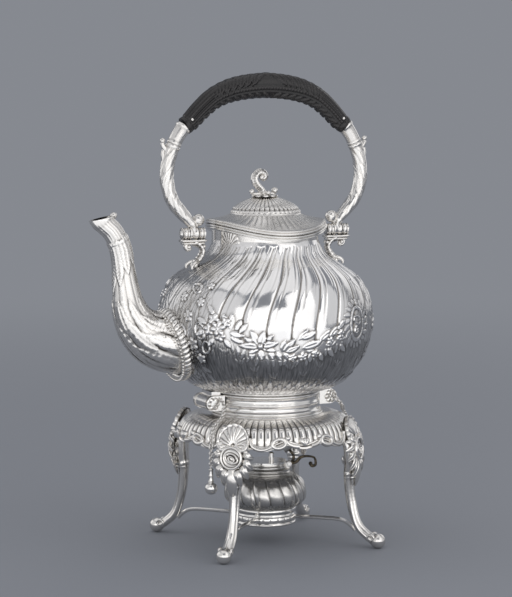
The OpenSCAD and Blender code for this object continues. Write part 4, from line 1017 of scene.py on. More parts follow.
def make_brackets():
    """The brackets on the shoulder that carry the bail: two barrels on a saddle, held up by leafy scrolls."""
    s = Shape()
    barrel(s, BAIL_X - 10.3, BAIL_X - 4.1, 2)
    barrel(s, BAIL_X + 4.1, BAIL_X + 10.3, 2)
    # A moulded saddle under the barrels
    for z, half, thick, wide in ((260.4, 11.2, 1.3, 4.8), (258.2, 9.8, 1.1, 4.2)):
        saddle = [(-half, z, 0.8), (1 - half, z, 1), (0, z - 0.2, 1), (half - 1, z, 1), (half, z, 0.8)]
        sweep(s, [(BAIL_X + x, h, thick, wide * w) for x, h, w in saddle], 20, None, 24, power=0.7)

    def leafy(a, along, path):
        t = along / along[-1]
        return 0.5 * np.cos(np.radians(a * 4)) * (1 - t) + 0.35 * np.abs(np.sin(along * 0.9))

    scroll = [
        (-0.5, 259.4, 3.2, 3.8), (-5.6, 256.8, 2.4, 3.7), (-8.6, 252, 2.3, 3.8), (-6.6, 246.8, 2.5, 4.2),
        (-2.6, 242, 2.8, 4.6), (-0.2, 238.2, 2.6, 4.4)
    ]
    curled = [
        (1, 259, 2, 3), (5.2, 258.4, 1.9, 2.9), (7, 255.6, 1.8, 2.8), (5.4, 253, 1.7, 2.6),
        (2.8, 253.6, 1.5, 2.4), (3, 255.8, 1.2, 2)
    ]
    sweep(s, [(BAIL_X + x, *rest) for x, *rest in scroll], 20, leafy, 60, times=3)
    sweep(s, [(BAIL_X + x, *rest) for x, *rest in curled], 16, None, 40)
    for side in (-1, 1):
        ball(s, (BAIL_X + 4.4, side * 2.4, 255.2), 1.9, 8, 12)
        ball(s, (BAIL_X - 9.4, side * 2.2, 255.4), 1.6, 8, 12)
        tail = [(-3, 3.4, 243), (0.4, 5.4, 242), (3.2, 6.2, 239.6), (3.4, 6.4, 237)]
        tube(s, smooth([(BAIL_X + x, side * y, z) for x, y, z in tail], 3), np.linspace(1.8, 1.1, 10))
    for end in ("front", "rear"):
        whole = Shape().join(s, mirror=end == "front")
        node = end + "_bail_bracket"
        whole.make(node + "_scroll", "kettle", "silver_chased", [node])


make_brackets()


def make_bail_arms():
    """The bail's two cast arms, with spiral fluting, leaves and ferrules."""
    knots = [
        (67.3, 267, 3, 4), (67.5, 272.1, 3, 4.6), (71.3, 277.3, 4.6, 5.2), (78.1, 284.5, 5.4, 5.5),
        (85.4, 293.5, 5.5, 5.7), (90, 306.5, 5.7, 5.7), (90.6, 318.5, 5.7, 5.8), (88, 331.9, 5.8, 5.8),
        (82.2, 345.4, 6.1, 5.9), (74.8, 356, 6.7, 6.2)
    ]

    def relief(a, along, path):
        total = along[-1]
        t = along / total
        size = path[:, 2:3]
        turn = wrapped(a)
        live = ramp(t, 0.10, 0.18) * (1 - ramp(t, 0.76, 0.8))
        spiral = (a / 360 * 3 + along / 26) % 1
        h = 0.18 * (np.abs(np.sin(math.pi * spiral)) ** 0.7 - 0.6) * live
        orn = np.zeros_like(h)
        for centre in (-135, -45, 45, 135):
            for low, shift in ((0.13, 0), (0.36, 45), (0.57, 0)):
                off = wrapped(turn - centre - shift) / 180 * math.pi * size
                orn = np.maximum(orn, leaf(along - total * low, off, (0, 0), 10, 30, 8.5, 0.5, 0.25, 3))
        ferrule = 0.75 * bell(t, 0.80, 0.012) + 0.5 * bell(t, 0.83, 0.008) + 0.7 * bell(t, 0.985, 0.012)
        foot = 0.5 * bell(t, 0.075, 0.02)
        covered = ramp(orn, 0.1, 0.6)
        return (h * (1 - covered) + orn) * live + ferrule + foot

    s = Shape()
    sweep(s, knots, 72, relief, 190, times=5)
    barrel(s, BAIL_X - 3.8, BAIL_X + 3.8, 1)

    def spur(points, thick, thin, sides):
        tube(s, smooth([(x, 0, z) for x, z in points], 4), np.linspace(thick, thin, 13), sides, up=(0, 1, 0))

    # The scroll and ball at the foot, towards the lid
    spur([(69.6, 276), (66.4, 273.6), (63.4, 275), (62.6, 277.6)], 3.4, 2.6, 14)
    ball(s, (62.3, 0, 277.6), 5.3, 14, 22)
    for side in (1, -1):
        ball(s, (62.3, side * 3.4, 277.6), 2.2, 8, 14)
    # The thumb spur outside, with a ball on its tip
    spur([(86.5, 333), (91.2, 336.4), (94.2, 340.4), (94.4, 343.4)], 3.2, 1.3, 12)
    ball(s, (94.4, 0, 344.2), 2.3, 10, 16)
    spur([(86.6, 322), (92.6, 327), (94.2, 333), (93.6, 337)], 2.8, 1.2, 12)
    for end in ("rear", "front"):
        node = end + "_bail_arm"
        Shape().join(s, mirror=end == "front").make(node + "_chased", "bail", "silver_chased", [node])


make_bail_arms()


def make_grip():
    """The carved ebony grip: a leafy crest on top, a bead line on each side and leaves below."""
    half = [
        (74.8, 356, 7.1, 7), (69.9, 359.4, 7.3, 7.2), (59.3, 370, 7.8, 7.8), (45.8, 380.2, 8.6, 8),
        (26.8, 386.8, 9.6, 8.2), (0, 389.4, 9.9, 8.4)
    ]
    knots = half + [(-x, z, h, w) for x, z, h, w in half[-2::-1]]

    def relief(a, along, path):
        total = along[-1]
        t = along / total
        mid = np.abs(2 * t - 1)
        # How far round from the underside and from the top, in millimetres on a grip of mean size
        size = 8.0
        under = wrapped(a) / 180 * math.pi * size
        up = wrapped(a - 180) / 180 * math.pi * size
        s = along - total / 2
        live = 1 - ramp(mid, 0.93, 0.97)
        crest = 1 - ramp(mid, 0.46, 0.66)
        out = np.zeros(np.broadcast(a, along).shape)
        for k in range(7):
            high, far = 2.4 * (1 - 0.05 * k), (2 + 7.0 * k, 0.6)
            for hand in (-1, 1):
                for row in (-1, 1):
                    out = np.maximum(out, leaf(hand * s, row * up, far, 30 + 3 * k, 18, 6.8, high, 0.15, 4))
        out = np.maximum(out, 1.4 * dome(np.hypot(s, up) / 5)) * crest
        flute = 0.8 * np.abs(np.sin(math.pi * up / 4.6)) ** 0.7 * (1 - crest) * (np.abs(up) < 11)
        low = np.zeros_like(out)
        for k in range(-11, 12):
            hand = 1 if k >= 0 else -1
            for row in (-1, 1):
                x = hand * (s - 7.2 * k)
                low = np.maximum(low, leaf(x, row * under, (-3, 1.2), 34, 10.5, 4.8, 1.9, 0.1, 2))
        beads = 0.75 * dome((np.abs(under) - 11.2) / 1.0) * (0.75 + 0.25 * np.sin(s * 2.2))
        groove = -0.5 * bell(np.abs(under), 13.2, 0.55) - 0.5 * bell(np.abs(under), 9.4, 0.5)
        end = 0.5 * ramp(mid, 0.955, 0.97) - 0.4 * bell(mid, 0.948, 0.006)
        return (out + flute + low * (np.abs(under) < 10) + beads + groove) * live + end

    s = Shape()
    sweep(s, knots, 100, relief, 420, times=5)
    s.make("bail_grip_carved", "bail", "ebony", ["bail_grip"])


make_grip()


# The stand

LEGS = (("front_left", -135), ("front_right", 135), ("rear_left", -45), ("rear_right", 45))


def make_collar():
    """The moulded gallery ring that holds the kettle's foot."""
    loop = [
        (44, 111.6), (49, 111.8), (49.4, 112.8), (48.6, 113.8), (47.6, 114.2), (48.2, 115), (47.9, 116),
        (46.6, 116.8), (46.1, 117.6), (46, 121.4), (46.6, 121.9), (46.6, 122.9), (46, 123.4), (45.9, 128.2),
        (46.5, 128.6), (46.9, 129.4), (46.6, 130.2), (46, 130.7), (44, 130.7)
    ]
    shape = Shape()
    lathe(shape, loop, 180)
    shape.make("stand_collar_moulded", "stand", "silver_polished", ["stand_collar"], crease=75)


make_collar()


# The apron's fall, from its root at the collar to the line above its scalloped lip
APRON_FALL = [(48, 113), (56, 112.4), (64, 110.2), (70.5, 106.5), (74, 101), (74.9, 97.5)]
LIP_TOP = 97.5


def apron_edge(az):
    """Height of the apron's lower edge."""
    off_mid = np.abs((az + 45) % 90 - 45)
    return 93.2 - 2.4 * bell(off_mid, 0, 6.5) + 1.6 * bell(off_mid, 12.5, 4) - 3.8 * bell(off_mid, 27, 7.5)


def on_apron(azimuth, z, out):
    """The place on the apron at an azimuth and height, lifted off it by out."""
    r = np.interp(-z, [-h for _, h in APRON_FALL] + [-90], [w for w, _ in APRON_FALL] + [76.6]) + out
    c, s = heading(azimuth)
    return r * c, r * s, z


def apron_scrolls(shape):
    """Pairs of C-scrolls on the border, with a small fan of leaves between them."""
    for mid in (0, 90, 180, 270):
        outward = (*heading(mid), 0)
        for hand in (-1, 1):
            big = c_scroll((0, 0), 5.4, 90 * hand - 14 * hand, hand)
            pts = [on_apron(mid + hand * 17 + x / 1.32, 96.6 + y * 0.95, 0.5) for x, y, _ in big]
            tube(shape, pts, 2.1 * big[:, 2], 8, up=outward)
            wavy = [(4, 93), (8, 93.8), (11, 96), (12.5, 99), (11, 101)]
            wavy = smooth([on_apron(mid + hand * a, z, 0.6) for a, z in wavy], 3)
            tube(shape, wavy, np.linspace(2.0, 1.2, 13), 8)
            ball(shape, on_apron(mid + hand * 11, 100.2, 0.8), 2.4, 8, 12)
            low = [(21, 94.5), (24, 92), (28, 91), (32, 92.4), (35, 96), (36, 100)]
            low = smooth([on_apron(mid + hand * a, z, 0.6) for a, z in low], 3)
            tube(shape, low, np.linspace(1.4, 2.1, 16), 8)
        for k in (-1, 0, 1):
            pts = [on_apron(mid + k * 3.0 * f, 93.5 + 6.5 * f, 0.5) for f in (0, 0.3, 0.6, 0.85, 1)]
            tube(shape, pts, [1.1, 2.0, 2.3, 1.7, 0.5], 8, up=outward)


def make_apron():
    """The flared skirt: rounded gadroons that end at a border, which follows the scalloped edge."""
    gadroons = 76
    top, _ = even(smooth(APRON_FALL, 6), 48)
    az = azimuths(720)
    a = np.radians(az)
    lobe = 1.5 * (np.abs(np.cos(math.pi * az * gadroons / 360)) ** 0.55 - 1)
    d = -np.gradient(top, axis=0)
    d /= np.linalg.norm(d, axis=1)[:, None]
    h1 = lobe * ramp(np.linspace(0, 1, len(top))[:, None], 0.08, 0.5)
    fall = turned(top[:, :1] + h1 * d[:, 1:], top[:, 1:] - h1 * d[:, :1], a)
    # The border: raised bands that follow the edge, with a groove between them
    t = np.linspace(0, 1, 22)[:, None]
    edge = apron_edge(az)
    from_edge = (1 - t) * (LIP_TOP - edge)
    h2 = lobe * ramp(from_edge, 3.4, 5.2)
    for lift, place, flat, reach in ((0.9, 0.9, 0.7, 1.2), (0.6, 3.2, 0.3, 0.9), (-0.3, 2.2, 0.2, 0.5)):
        h2 = h2 + lift * (1 - ramp(np.abs(from_edge - place), flat, reach))
    border = turned(74.9 + 2.0 * t ** 1.5 + h2, LIP_TOP + (edge - LIP_TOP) * t, a)
    inner_r = np.array([75.0, 73.2, 72.2, 68.6, 62.5, 54.0, 45.0])[:, None]
    inner_z = np.array([0, 0, 100.0, 104.7, 108.2, 110.4, 111.2])[:, None] + 0 * az
    inner_z[0], inner_z[1] = edge[0] - 0.2, edge[0] + 4
    shape = Shape()
    p = np.vstack([fall, border[1:], turned(inner_r, inner_z, a)])
    shape.grid(p, np.vstack([h1, h2[1:], 0 * inner_z]), True, times=4)
    apron_scrolls(shape)
    shape.make("stand_apron_gadrooned", "stand", "silver_chased", ["stand_apron"])


make_apron()


def make_legs():
    """The cabriole legs, with a leafy knee, a ridge along the shin and a ball foot."""
    knots = [
        (65, 103, 3.5, 5), (69, 97, 5, 7.4), (76, 87, 5.8, 9), (76.8, 74, 5.8, 8.2), (75.4, 60, 4.6, 5.9),
        (76, 46, 4.1, 4.7), (78.5, 32, 3.8, 4.3), (83.5, 18, 3.6, 4.7), (92, 9.8, 3.6, 5.2),
        (97, 6.8, 3.9, 5.7)
    ]

    def relief(a, along, path):
        z, size = path[:, 1:2], path[:, 3:4]
        turn = wrapped(a)
        # The path runs down, so the angle 0 faces outwards
        shin = 1 - ramp(z, 66, 74)
        outward = 1 - ramp(np.abs(turn), 8, 60)
        ridge_h = 0.85 * np.clip(1 - np.abs(turn) / 42, 0, 1) * shin
        hollow = -0.45 * bell(np.abs(turn), 52, 16) * shin * ramp(z, 8, 14)
        orn = np.zeros_like(ridge_h)
        x = turn / 180 * math.pi * size
        down = along - np.interp(-80, -path[:, 1], along[:, 0])
        for shift, where, length, width, lift in (
            (0, 2, 22, 9, 1.7), (5.2, 0, 16, 7, 1.5), (9.5, -4, 15, 7, 1.4), (3.2, 13, 14, 5, 1.1)
        ):
            for side in (-1, 1):
                at = (where, side * shift * 0.8)
                orn = np.maximum(orn, leaf(down, x, at, 0, length, width, lift, 0.0, 4))
        knuckle = 1.1 * bell(z, 63, 1.3) + 0.7 * bell(z, 59.8, 0.8)
        return ridge_h + hollow + orn + knuckle * (0.4 + 0.6 * outward)

    s = Shape()
    sweep(s, knots, 56, relief, 170, times=4)
    # The ball foot
    foot_x, foot_r, foot_z = 101, 6.5, 6.2
    foot = [heading(t) for t in np.linspace(-72, 90, 20)]
    foot = [(foot_r * c, foot_z + foot_r * s) for c, s in foot[:-1]] + [(0.3, 12.7)]
    lathe(s, [(0.3, 0.0)] + foot, 36, None, False, (foot_x, 0))
    for side in (-1, 1):
        # Volutes where the leg wraps the foot
        spiral = []
        for t in np.linspace(0, 1, 16):
            c, sn = heading(200 - 300 * t)
            r = 3.6 * (1 - 0.6 * t)
            spiral.append((96.6 + r * c, side * (5.0 + 0.6 * t), 9.0 + r * sn))
        tube(s, spiral, np.linspace(1.2, 0.8, 16), 8, up=(0, 1, 0))
        # Beads at the waist
        ball(s, (75.4, side * 5.2, 62.6), 1.9, 8, 12)
    ball(s, (81.6, 0, 63.2), 2.2, 8, 12)
    for name, turn in LEGS:
        Shape().join(s, turn).make("leg_%s_cabriole" % name, "stand", "silver_chased", ["leg_" + name])


make_legs()


def make_shells():
    """The fan shell on a knee, its medallion with a wave scroll, and the leafage round them."""
    s = Shape()
    side = np.array([0, 1.0, 0])

    def plane(lean):
        """The directions up along and out from a face that leans back by degrees."""
        c, sn = heading(lean)
        return np.array([-sn, 0, c]), np.array([c, 0, sn])

    def fan():
        base = np.array([79.6, 0.0, 94.2])
        up, out = plane(19)
        ribs, across, rows, half_turn, thick = 11, 132, 26, 104, 2.4
        t = np.linspace(0, 1, rows)[:, None]
        angle = np.linspace(-half_turn, half_turn, across)[None, :]
        rib = np.abs(np.sin(math.pi * ribs * (angle + half_turn) / (2 * half_turn))) ** 0.7
        reach = (18.6 - 3.4 * (np.abs(angle) / half_turn) ** 2) * (0.965 + 0.035 * rib * t)
        d = 2.5 + (reach - 2.5) * t
        top = 0.6 + 1.5 * np.sin(math.pi * t ** 0.8) * 0.6 + 0.9 * (rib - 0.4) * ramp(t, 0.05, 0.35)
        top = top + 0.9 * ramp(t, 0.86, 0.97)
        x, y = d * np.sin(np.radians(angle)) * 0.84, d * np.cos(np.radians(angle))
        face = base + x[..., None] * side + y[..., None] * up
        loop = np.concatenate([face + top[..., None] * out, (face - thick * out)[::-1]], 0)
        # The grid goes round from front to back, and its two sides close as caps
        relief = np.concatenate([top, np.zeros(x.shape)], 0)
        s.grid(loop.transpose(1, 0, 2), relief.T, False, times=3)
        hook = ((3, -1), (7, -3.6), (10.6, -3.2), (12.2, -0.2), (10.6, 2.2), (8.4, 1.2))
        for hand in (-1, 1):
            pts = [base + side * hand * w + up * h + out * 1.2 for w, h in hook]
            tube(s, smooth(pts, 3), np.linspace(2.2, 1.3, 16), up=(1, 0, 0))
            for w, z in ((10.8, 1.0), (12.0, -5)):
                ball(s, base + side * hand * w + up * z + out * 0.8, 1.9, 8, 12)

    def medallion(centre, up, out):
        rr = np.r_[np.linspace(0.4, 9.8, 34), 9.9, 9.4][:, None]
        a = np.radians(azimuths(84))
        px, py = rr * np.cos(a), rr * np.sin(a)
        field = 0.6 - 0.9 * np.clip(1 - (np.hypot(px, py) / 8) ** 2, 0, 1)
        swirl = ridge(px, py, c_scroll((0.6, 0.2), 5.4, 70, 1), 2.2, 1.9)
        swirl = np.maximum(swirl, ridge(px, py, c_scroll((0.2, -0.6), 2.8, 60, 1), 1.7, 1.6))
        hh = field + np.maximum(swirl, 1.5 * dome((rr - 8.7) / 1.15))
        # The last two rings go back to the knee
        hh[-2:] = [[0.0], [-3.5]]
        disc = centre + px[..., None] * side + py[..., None] * up + (hh + 0.4)[..., None] * out
        s.grid(disc, np.clip(hh, -1, 3), False, times=3)

    def leafage(centre, up, out):
        """Leaves under and beside the medallion, each with a vein, and the tongue below."""
        swell = np.sin(math.pi * np.linspace(0.1, 0.97, 10)) ** 0.6
        leaves = (
            (8, 5, 6.5, 4.5, 2.6), (9, 1, 8.5, 0.5, 3.0), (9, -3, 8, -4.5, 3.2), (7.5, -6.5, 6, -9, 3.2),
            (4, -9, 3.6, -13, 3.2)
        )
        for hand in (-1, 1):
            for w, h, dw, dh, size in leaves:
                pts = []
                for g in np.linspace(0, 1, 10):
                    rise = -2.2 + 2.6 * math.sin(math.pi * g) - 3.0 * g * g
                    across, along = w + dw * g, h + dh * g + 1.2 * math.sin(5 * g)
                    pts.append(centre + side * hand * across + up * along + out * rise)
                tube(s, pts, 0.42 * size * swell, 14, flat=2.7, up=out)
                tube(s, [p + out * (0.38 * size) for p in pts], 0.8 * swell, 8, up=out)
        tongue = []
        for g in np.linspace(0, 1, 12):
            tongue.append(centre + up * (-9 - 23 * g) + out * (-1.2 + 1.6 * math.sin(math.pi * g) - 4.5 * g))
        tube(s, tongue, 2.0 * np.sin(math.pi * np.linspace(0.12, 0.97, 12)) ** 0.6, 16, flat=2.6, up=out)

    centre = np.array([83.0, 0, 84.6])
    fan()
    medallion(centre, *plane(6))
    leafage(centre, *plane(6))
    for name, turn in LEGS:
        whole = Shape().join(s, turn)
        whole.make("knee_shell_%s_carved" % name, "stand", "silver_chased", ["knee_shell_" + name])


make_shells()


def make_lamp_ring():
    """The ring that holds the lamp, with a row of sunk panels between its mouldings."""
    loop = [
        (22.4, 16), (25.6, 16), (26.4, 16.5), (26.6, 17.4), (25.9, 18.2), (25.6, 18.8), (25.6, 23.4),
        (26.1, 23.9), (26.1, 24.7), (25.6, 25.2), (25.6, 26.8), (26.3, 27.2), (26.6, 28.2), (26.4, 29.6),
        (25.8, 30.4), (24.5, 30.4), (24.45, 27), (24.45, 18), (22.4, 17.6)
    ]
    # More rows where the panels start and end
    sill, head = np.array(loop[5:7])
    rows = loop[:6] + [sill + (head - sill) * f for f in (0.08, 0.5, 0.92)] + loop[6:]

    panel_width = 15.0

    def panels(az, row):
        cell = np.abs(((az / panel_width) % 1) - 0.5)
        return np.where((row >= 6) & (row <= 8), 0.45 * (1 - ramp(cell, 0.38, 0.44)), 0.0)

    shape = Shape()
    lathe(shape, rows, 288, panels, times=2)
    shape.make("lamp_ring_panelled", "stand", "silver_polished", ["lamp_ring"], crease=75)


make_lamp_ring()


def make_lamp():
    """The spirit lamp: a lobed melon between two scalloped lines, with a stepped collar."""
    lobe_count, twist = 17, 10
    body = [
        (27.3, 30.5), (31, 33.7), (34.2, 37.4), (35, 42), (34.4, 46.6), (32.6, 51), (29.6, 54.6), (26, 57),
        (22.6, 58.4)
    ]
    body, _ = even(smooth(body, 6), 74)
    collar = [
        (21.6, 58.8), (21.8, 59.8), (20.4, 60.4), (20.2, 61.2), (21, 61.8), (20.9, 62.6), (19.2, 63.2),
        (18.0, 63.8), (18.2, 64.6), (18.0, 65.4), (17.5, 66), (17.4, 67.9)
    ]
    spigot = [
        (16.2, 67.9), (16.2, 60), (20, 56), (30, 50), (32.4, 42), (28, 34), (22.8, 31.4), (22.6, 21.4),
        (1.0, 21.4)
    ]
    low = [(1.0, 20), (24, 20), (24.1, 30.5)]
    rows = np.vstack([low, body, collar, spigot])
    first, last = len(low), len(low) + len(body)

    def relief(az, row):
        t = np.clip((row - first) / (last - first), 0, 1)
        az = az + twist * ramp(t, 0, 1)
        lobe = np.abs(np.cos(math.pi * ((az * lobe_count / 360) % 1 - 0.5))) ** 0.5
        scallops = np.cos(np.radians(az * 2 * lobe_count))
        low_line, high_line = 0.15 + 0.035 * scallops, 0.83 + 0.03 * scallops
        inside = ramp(t - low_line, 0, 0.03) * (1 - ramp(t - high_line, -0.03, 0))
        h = 1.7 * (lobe - 1) * inside + 0.7 * inside - 0.1
        beads = 0.5 * bell(t, low_line - 0.03, 0.014) + 0.5 * bell(t, high_line + 0.03, 0.014)
        return np.where((row >= first) & (row < last), h + beads, 0.0)

    shape = Shape()
    lathe(shape, rows, 408, relief, False, times=4)
    shape.make("lamp_melon", "lamp", "silver_dark", ["lamp_reservoir"])


make_lamp()


# The snuffer's pivot, in the lamp's own directions
SNUFFER_X, SNUFFER_Z = 20.4, 66.6
# How far the snuffer is open and the lamp turned in the photograph, in degrees
SNUFFER_OPEN, LAMP_TURN = 55, -25
# Where the wick stands, in the lamp's own directions
WICK_X = 5


def in_lamp(points, swung=False):
    """Points drawn in the lamp's own directions, with the snuffer shut, brought to the frame."""
    p = np.asarray(points, float)
    if swung:
        x, z = p[..., 0] - SNUFFER_X, p[..., 2] - SNUFFER_Z
        c, s = heading(SNUFFER_OPEN)
        p = np.stack([SNUFFER_X + x * c + z * s, p[..., 1], SNUFFER_Z - x * s + z * c], -1)
    return spin(p.reshape(-1, 3), LAMP_TURN).reshape(p.shape)


def make_wick():
    """A plaited wick, with a frayed, scorched end."""
    top, bottom, scorch = 76.8, 33, 75.2
    z = np.linspace(bottom, top - 0.3, 150)[:, None]
    a = circle(24)
    r = 1.45 + 0.16 * np.abs(np.sin(3 * a + z * 1.1)) + 0.16 * np.abs(np.sin(-3 * a + z * 1.1))
    r = np.minimum(r, 1.7) * (1 - 0.18 * ramp(z, top - 2, top))
    s = Shape()
    s.grid(in_lamp(turned(r, z, a, (WICK_X, 0))), r - 1.6, False, times=2)
    s.make("wick_plaited", "lamp", "cotton", ["wick"], cotton("cotton wick", top, scorch))


make_wick()


def make_snuffer():
    """The turned cap over the wick, and the iron lever that carries it and ends in a curl."""
    loop = [
        (5.7, 69.7), (6.6, 69.7), (6.75, 70.3), (6.5, 70.9), (6.4, 71.4), (6.5, 75), (6.1, 76.7), (5.2, 78),
        (3.6, 79), (1.6, 79.4), (0.9, 79.9), (0.2, 80.1)
    ]
    under = [(0.2, 78.6), (2.4, 78.4), (4.6, 77), (5.7, 75), (5.7, 71)]
    o = np.asarray(loop + under, float)
    cap = Shape()
    cap.grid(in_lamp(turned(o[:, :1], o[:, 1:], circle(48), (WICK_X, 0)), True), None, True)
    cap.make("snuffer_cap_turned", "snuffer", "silver_dark", ["snuffer_cap"])
    lever = Shape()
    sideways = in_lamp([0, 1.0, 0])
    long_arm = [
        (20.4, 0, 66.6), (22.8, 0, 72.1), (21.8, 0, 77.6), (24, 0, 82.6), (28.8, 0, 87.1), (34, 0, 84.8),
        (33.6, 0, 81.6), (31, 0, 81.2)
    ]
    long_arm = smooth(long_arm, 4)
    twist = 1.15 + 0.25 * np.sin(np.linspace(0, 9, len(long_arm)))
    tube(lever, in_lamp(long_arm, True), twist, 12, up=sideways)
    ball(lever, in_lamp([31, 0, 81.6], True), 1.7, 8, 14)
    short_arm = smooth([(20.4, 0, 66.8), (20, 0, 71), (16.8, 0, 73.6), (11.3, 0, 73.7)], 4)
    tube(lever, in_lamp(short_arm, True), 1.15, 12, up=sideways)
    # The eye round the pin
    ys, rr = np.array([(-1.5, 1.9), (1.5, 1.9), (1.5, 0.96), (-1.5, 0.96)]).T[..., None]
    a = circle(16)
    eye = np.stack(np.broadcast_arrays(SNUFFER_X + rr * np.cos(a), ys, SNUFFER_Z + rr * np.sin(a)), -1)
    lever.grid(in_lamp(eye, True), None, True)
    lever.make("snuffer_lever_curled", "snuffer", "black_iron", ["snuffer_lever"])


make_snuffer()


def make_hinge():
    """The pouring hinge's moulded ears, with a rosette on each, and the same casting behind for the lock."""
    s = Shape()
    mid_x, mid_z, root_x = 55, 123.5, 44.6

    def ear_outline(r):
        """A round end that runs back to a square root, as offsets from the pin."""
        loop = []
        for t in circle(40)[0]:
            c, sn = math.cos(t), math.sin(t)
            x = r * c if c > 0 else (root_x - mid_x) * min(1, -c * 1.7)
            z = r * (1 if sn > 0 else -1) * min(1, abs(sn) * (1.0 if c > 0 else 1.7))
            loop.append((x, z))
        return np.array(loop)

    for hand in (-1, 1):
        for inner, outer, r in ((10.5, 12.1, 6.5), (12.1, 13.2, 5.4), (13.2, 14.5, 6.2)):
            x, z = ear_outline(r).T
            sides = [np.stack([mid_x + x, np.full(len(x), hand * y), mid_z + z], -1) for y in (inner, outer)]
            s.grid(np.stack(sides))
        # Rosette on the ear's face
        rr = np.r_[np.linspace(0.4, 5.6, 16), 5.7][:, None]
        a = np.radians(azimuths(48))
        px, pz = rr * np.cos(a), rr * np.sin(a)
        h = flower(px, pz, 5.5, 6, 0, 1.3) + 0.1
        h[-1] = -0.4
        s.grid(np.stack([mid_x + px, hand * (14.5 + h), mid_z + pz], -1), h, False, times=2)
    for node in ("front_hinge_ears", "rear_lock_ears"):
        whole = Shape().join(s, mirror=node == "front_hinge_ears")
        whole.make(node + "_moulded", "stand", "silver_chased", [node])


make_hinge()


def eye_turn(name):
    """Direction of the eye's ring, from the points of the CAD node above the shaft."""
    _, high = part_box(name)
    co = np.array([v.co for v in frame["nodes"][name].data.vertices])
    top = co[co[:, 2] > high[2] - 0.0015, :2]
    along = np.linalg.svd(top - top.mean(0), full_matrices=False)[2][0]
    return math.atan2(along[1], along[0])


def make_pins():
    """The locking pins that hang on the chains: an eye, a turned shaft and a ball."""
    profile = [
        (0.2, 0), (2.4, 0.5), (4.2, 2.0), (5.2, 4.2), (5.2, 6.2), (4.2, 8.4), (2.6, 9.7), (2.1, 10.4),
        (2.7, 11), (2.1, 11.8), (1.9, 15), (2.3, 15.6), (1.9, 16.4), (1.8, 20), (2.2, 20.7), (1.7, 21.6),
        (0.2, 21.8)
    ]
    wire, eye_r = 0.45, 1.6
    for end in ("front", "rear"):
        name = end + "_lock_pin"
        low, high = (np.array(c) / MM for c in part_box(name))
        x, y, _ = (low + high) / 2
        s = Shape()
        rows, _ = even(smooth(profile, 4), 60)
        lathe(s, rows + (0, low[2]), 40, None, False, (x, y))
        ring, b = circle(24).T, circle(10)
        turn = eye_turn(name)
        c, sn = math.cos(turn), math.sin(turn)
        rr = eye_r + wire * np.cos(b)
        u, w = rr * np.cos(ring), wire * np.sin(b)
        z = high[2] - eye_r - wire + rr * np.sin(ring)
        s.grid(np.stack([x + u * c - w * sn, y + u * sn + w * c, z], -1), None, True)
        s.make(name + "_turned", end + "_pin", "silver_polished", [name])


make_pins()


# The CAD nodes that stay

for part in frame["record"]["subparts"]:
    obj = frame["nodes"].get(part["node"])
    if obj is not None and not obj.hide_render and part["material_slot"] in SLOTS:
        obj.data.materials.clear()
        obj.data.materials.append(SLOTS[part["material_slot"]])
        obj.data.shade_smooth()
        obj.data.set_sharp_from_angle(angle=math.radians(40))


# Floor, light and camera

GREY = (0.239, 0.251, 0.279)


def make_floor():
    """A round sheet of paper, plain grey near the object, which glows in the background's grey far out."""
    rings = [0.02, 0.1, 0.2, 0.35, 0.5, 0.7, 0.95, 1.3, 1.8, 2.6, 4, 7, 14]
    n = 96
    verts = [(0, 0, 0)] + [(r * math.cos(t), r * math.sin(t), 0) for r in rings for t in circle(n)[0]]
    faces = [(0, 1 + k, 1 + (k + 1) % n) for k in range(n)]
    for i in range(len(rings) - 1):
        a, b = 1 + i * n, 1 + (i + 1) * n
        faces += [(a + k, b + k, b + (k + 1) % n, a + (k + 1) % n) for k in range(n)]
    mesh = bpy.data.meshes.new("floor")
    mesh.from_pydata(verts, [], faces)
    floor = linked("floor", mesh)
    nodes = Nodes(bpy.data.materials.new("floor paper"))
    away = nodes.add("VectorMath", {0: nodes.place()}, "Value", operation="LENGTH")
    span = {"Value": away, "From Min": 0.35, "From Max": 2.2}
    far = nodes.add("MapRange", span, interpolation_type="SMOOTHSTEP")
    mesh.materials.append(nodes.dress((0.197, 0.21, 0.24, 1), 0.65, nodes.noise(400.0, 2.0), 0.05, 0.0002))
    glow = nodes.add("Emission", {"Color": (*GREY, 1)})
    seen = nodes.add("MixShader", {"Fac": far, 1: nodes.shader.outputs["BSDF"], 2: glow})
    nodes.feed(nodes.find("OUTPUT_MATERIAL"), {"Surface": seen})


make_floor()


def make_world():
    """A pale sky that lights the object, which the camera and reflections see as the background's grey."""
    world = bpy.data.worlds.new("studio")
    bpy.context.scene.world = world
    nodes = Nodes(world)
    back = nodes.find("BACKGROUND")
    nodes.feed(back, {"Color": (0.97, 0.98, 1.0, 1), "Strength": 0.55})
    path = nodes.add("LightPath").node.outputs
    seen = nodes.sum("MAXIMUM", path["Is Camera Ray"], path["Is Glossy Ray"])
    seen = nodes.sum("MAXIMUM", seen, path["Is Transmission Ray"])
    grey = nodes.add("Background", {"Color": (*GREY, 1), "Strength": 1.0})
    mix = nodes.add("MixShader", {"Fac": seen, 1: back.outputs["Background"], 2: grey})
    nodes.feed(nodes.find("OUTPUT_WORLD"), {"Surface": mix})


make_world()


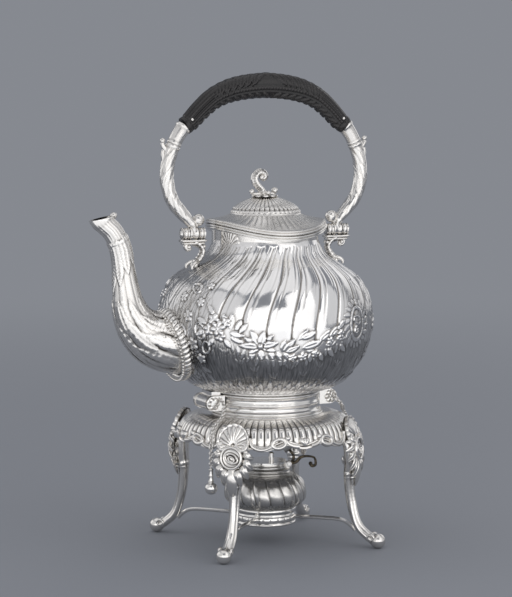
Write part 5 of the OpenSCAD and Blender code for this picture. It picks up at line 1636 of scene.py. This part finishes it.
def softbox(name, place, normal, width, height, radiance, tint=(1, 1, 1)):
    """A soft lamp at a place, facing along a normal, of so bright a face."""
    data = bpy.data.lights.new(name, "AREA")
    data.shape = "RECTANGLE"
    data.size, data.size_y = width, height
    data.energy = radiance * math.pi * width * height
    data.color = tint
    lamp = linked(name, data)
    lamp.location = place
    lamp.rotation_euler = normal.to_track_quat("-Z", "Y").to_euler()


def around(az, el):
    """The direction at an azimuth and elevation in degrees, seen from the object."""
    az, el = math.radians(az), math.radians(el)
    return Vector((math.cos(el) * math.cos(az), math.cos(el) * math.sin(az), math.sin(el)))


def make_lamps():
    middle = Vector((0, 0, 0.2))
    for name, az, el, far, width, height, radiance in (
        ("left", -176, 21, 2.4, 3.7, 3.0, 0.47),
        ("right", -67, 21, 2.4, 1.5, 3.0, 0.93),
        ("right far", -28, 21, 2.4, 1.8, 3.0, 0.42),
        ("front", -111, 12, 2.7, 3.0, 1.5, 0.95),
        ("back left", 131, 18, 2.3, 1.5, 1.5, 0.7),
        ("back right", 28, 18, 2.3, 1.5, 1.5, 0.7),
        ("top", 90, 89, 2.1, 2.7, 2.7, 0.6)
    ):
        out = around(az, el)
        softbox(name, middle + far * out, -out, width, height, radiance, (1.0, 0.982, 0.965))
    softbox("front card", (-0.333, -0.711, 0.125), -around(-115.1, -76.9), 2.2, 1.05, 0.85)


make_lamps()


def make_camera():
    turn, rise, away = math.radians(-25.12), math.radians(5.72), 1.85496
    back = Vector((math.sin(turn) * math.cos(rise), -math.cos(turn) * math.cos(rise), math.sin(rise)))
    right = Vector((math.cos(turn), math.sin(turn), 0))
    up = back.cross(right)
    # The place looked at lies a little to the left of the kettle's axis
    target = Vector((0, 0, 0.20883)) - right * 0.00808
    data = bpy.data.cameras.new("camera")
    data.lens, data.sensor_width = 131.24, 36
    camera = linked("camera", data)
    matrix = Matrix((right, up, back)).transposed().to_4x4()
    matrix.translation = target + back * away
    camera.matrix_world = matrix
    bpy.context.scene.camera = camera


make_camera()
bpy.context.scene.view_settings.view_transform = "Standard"
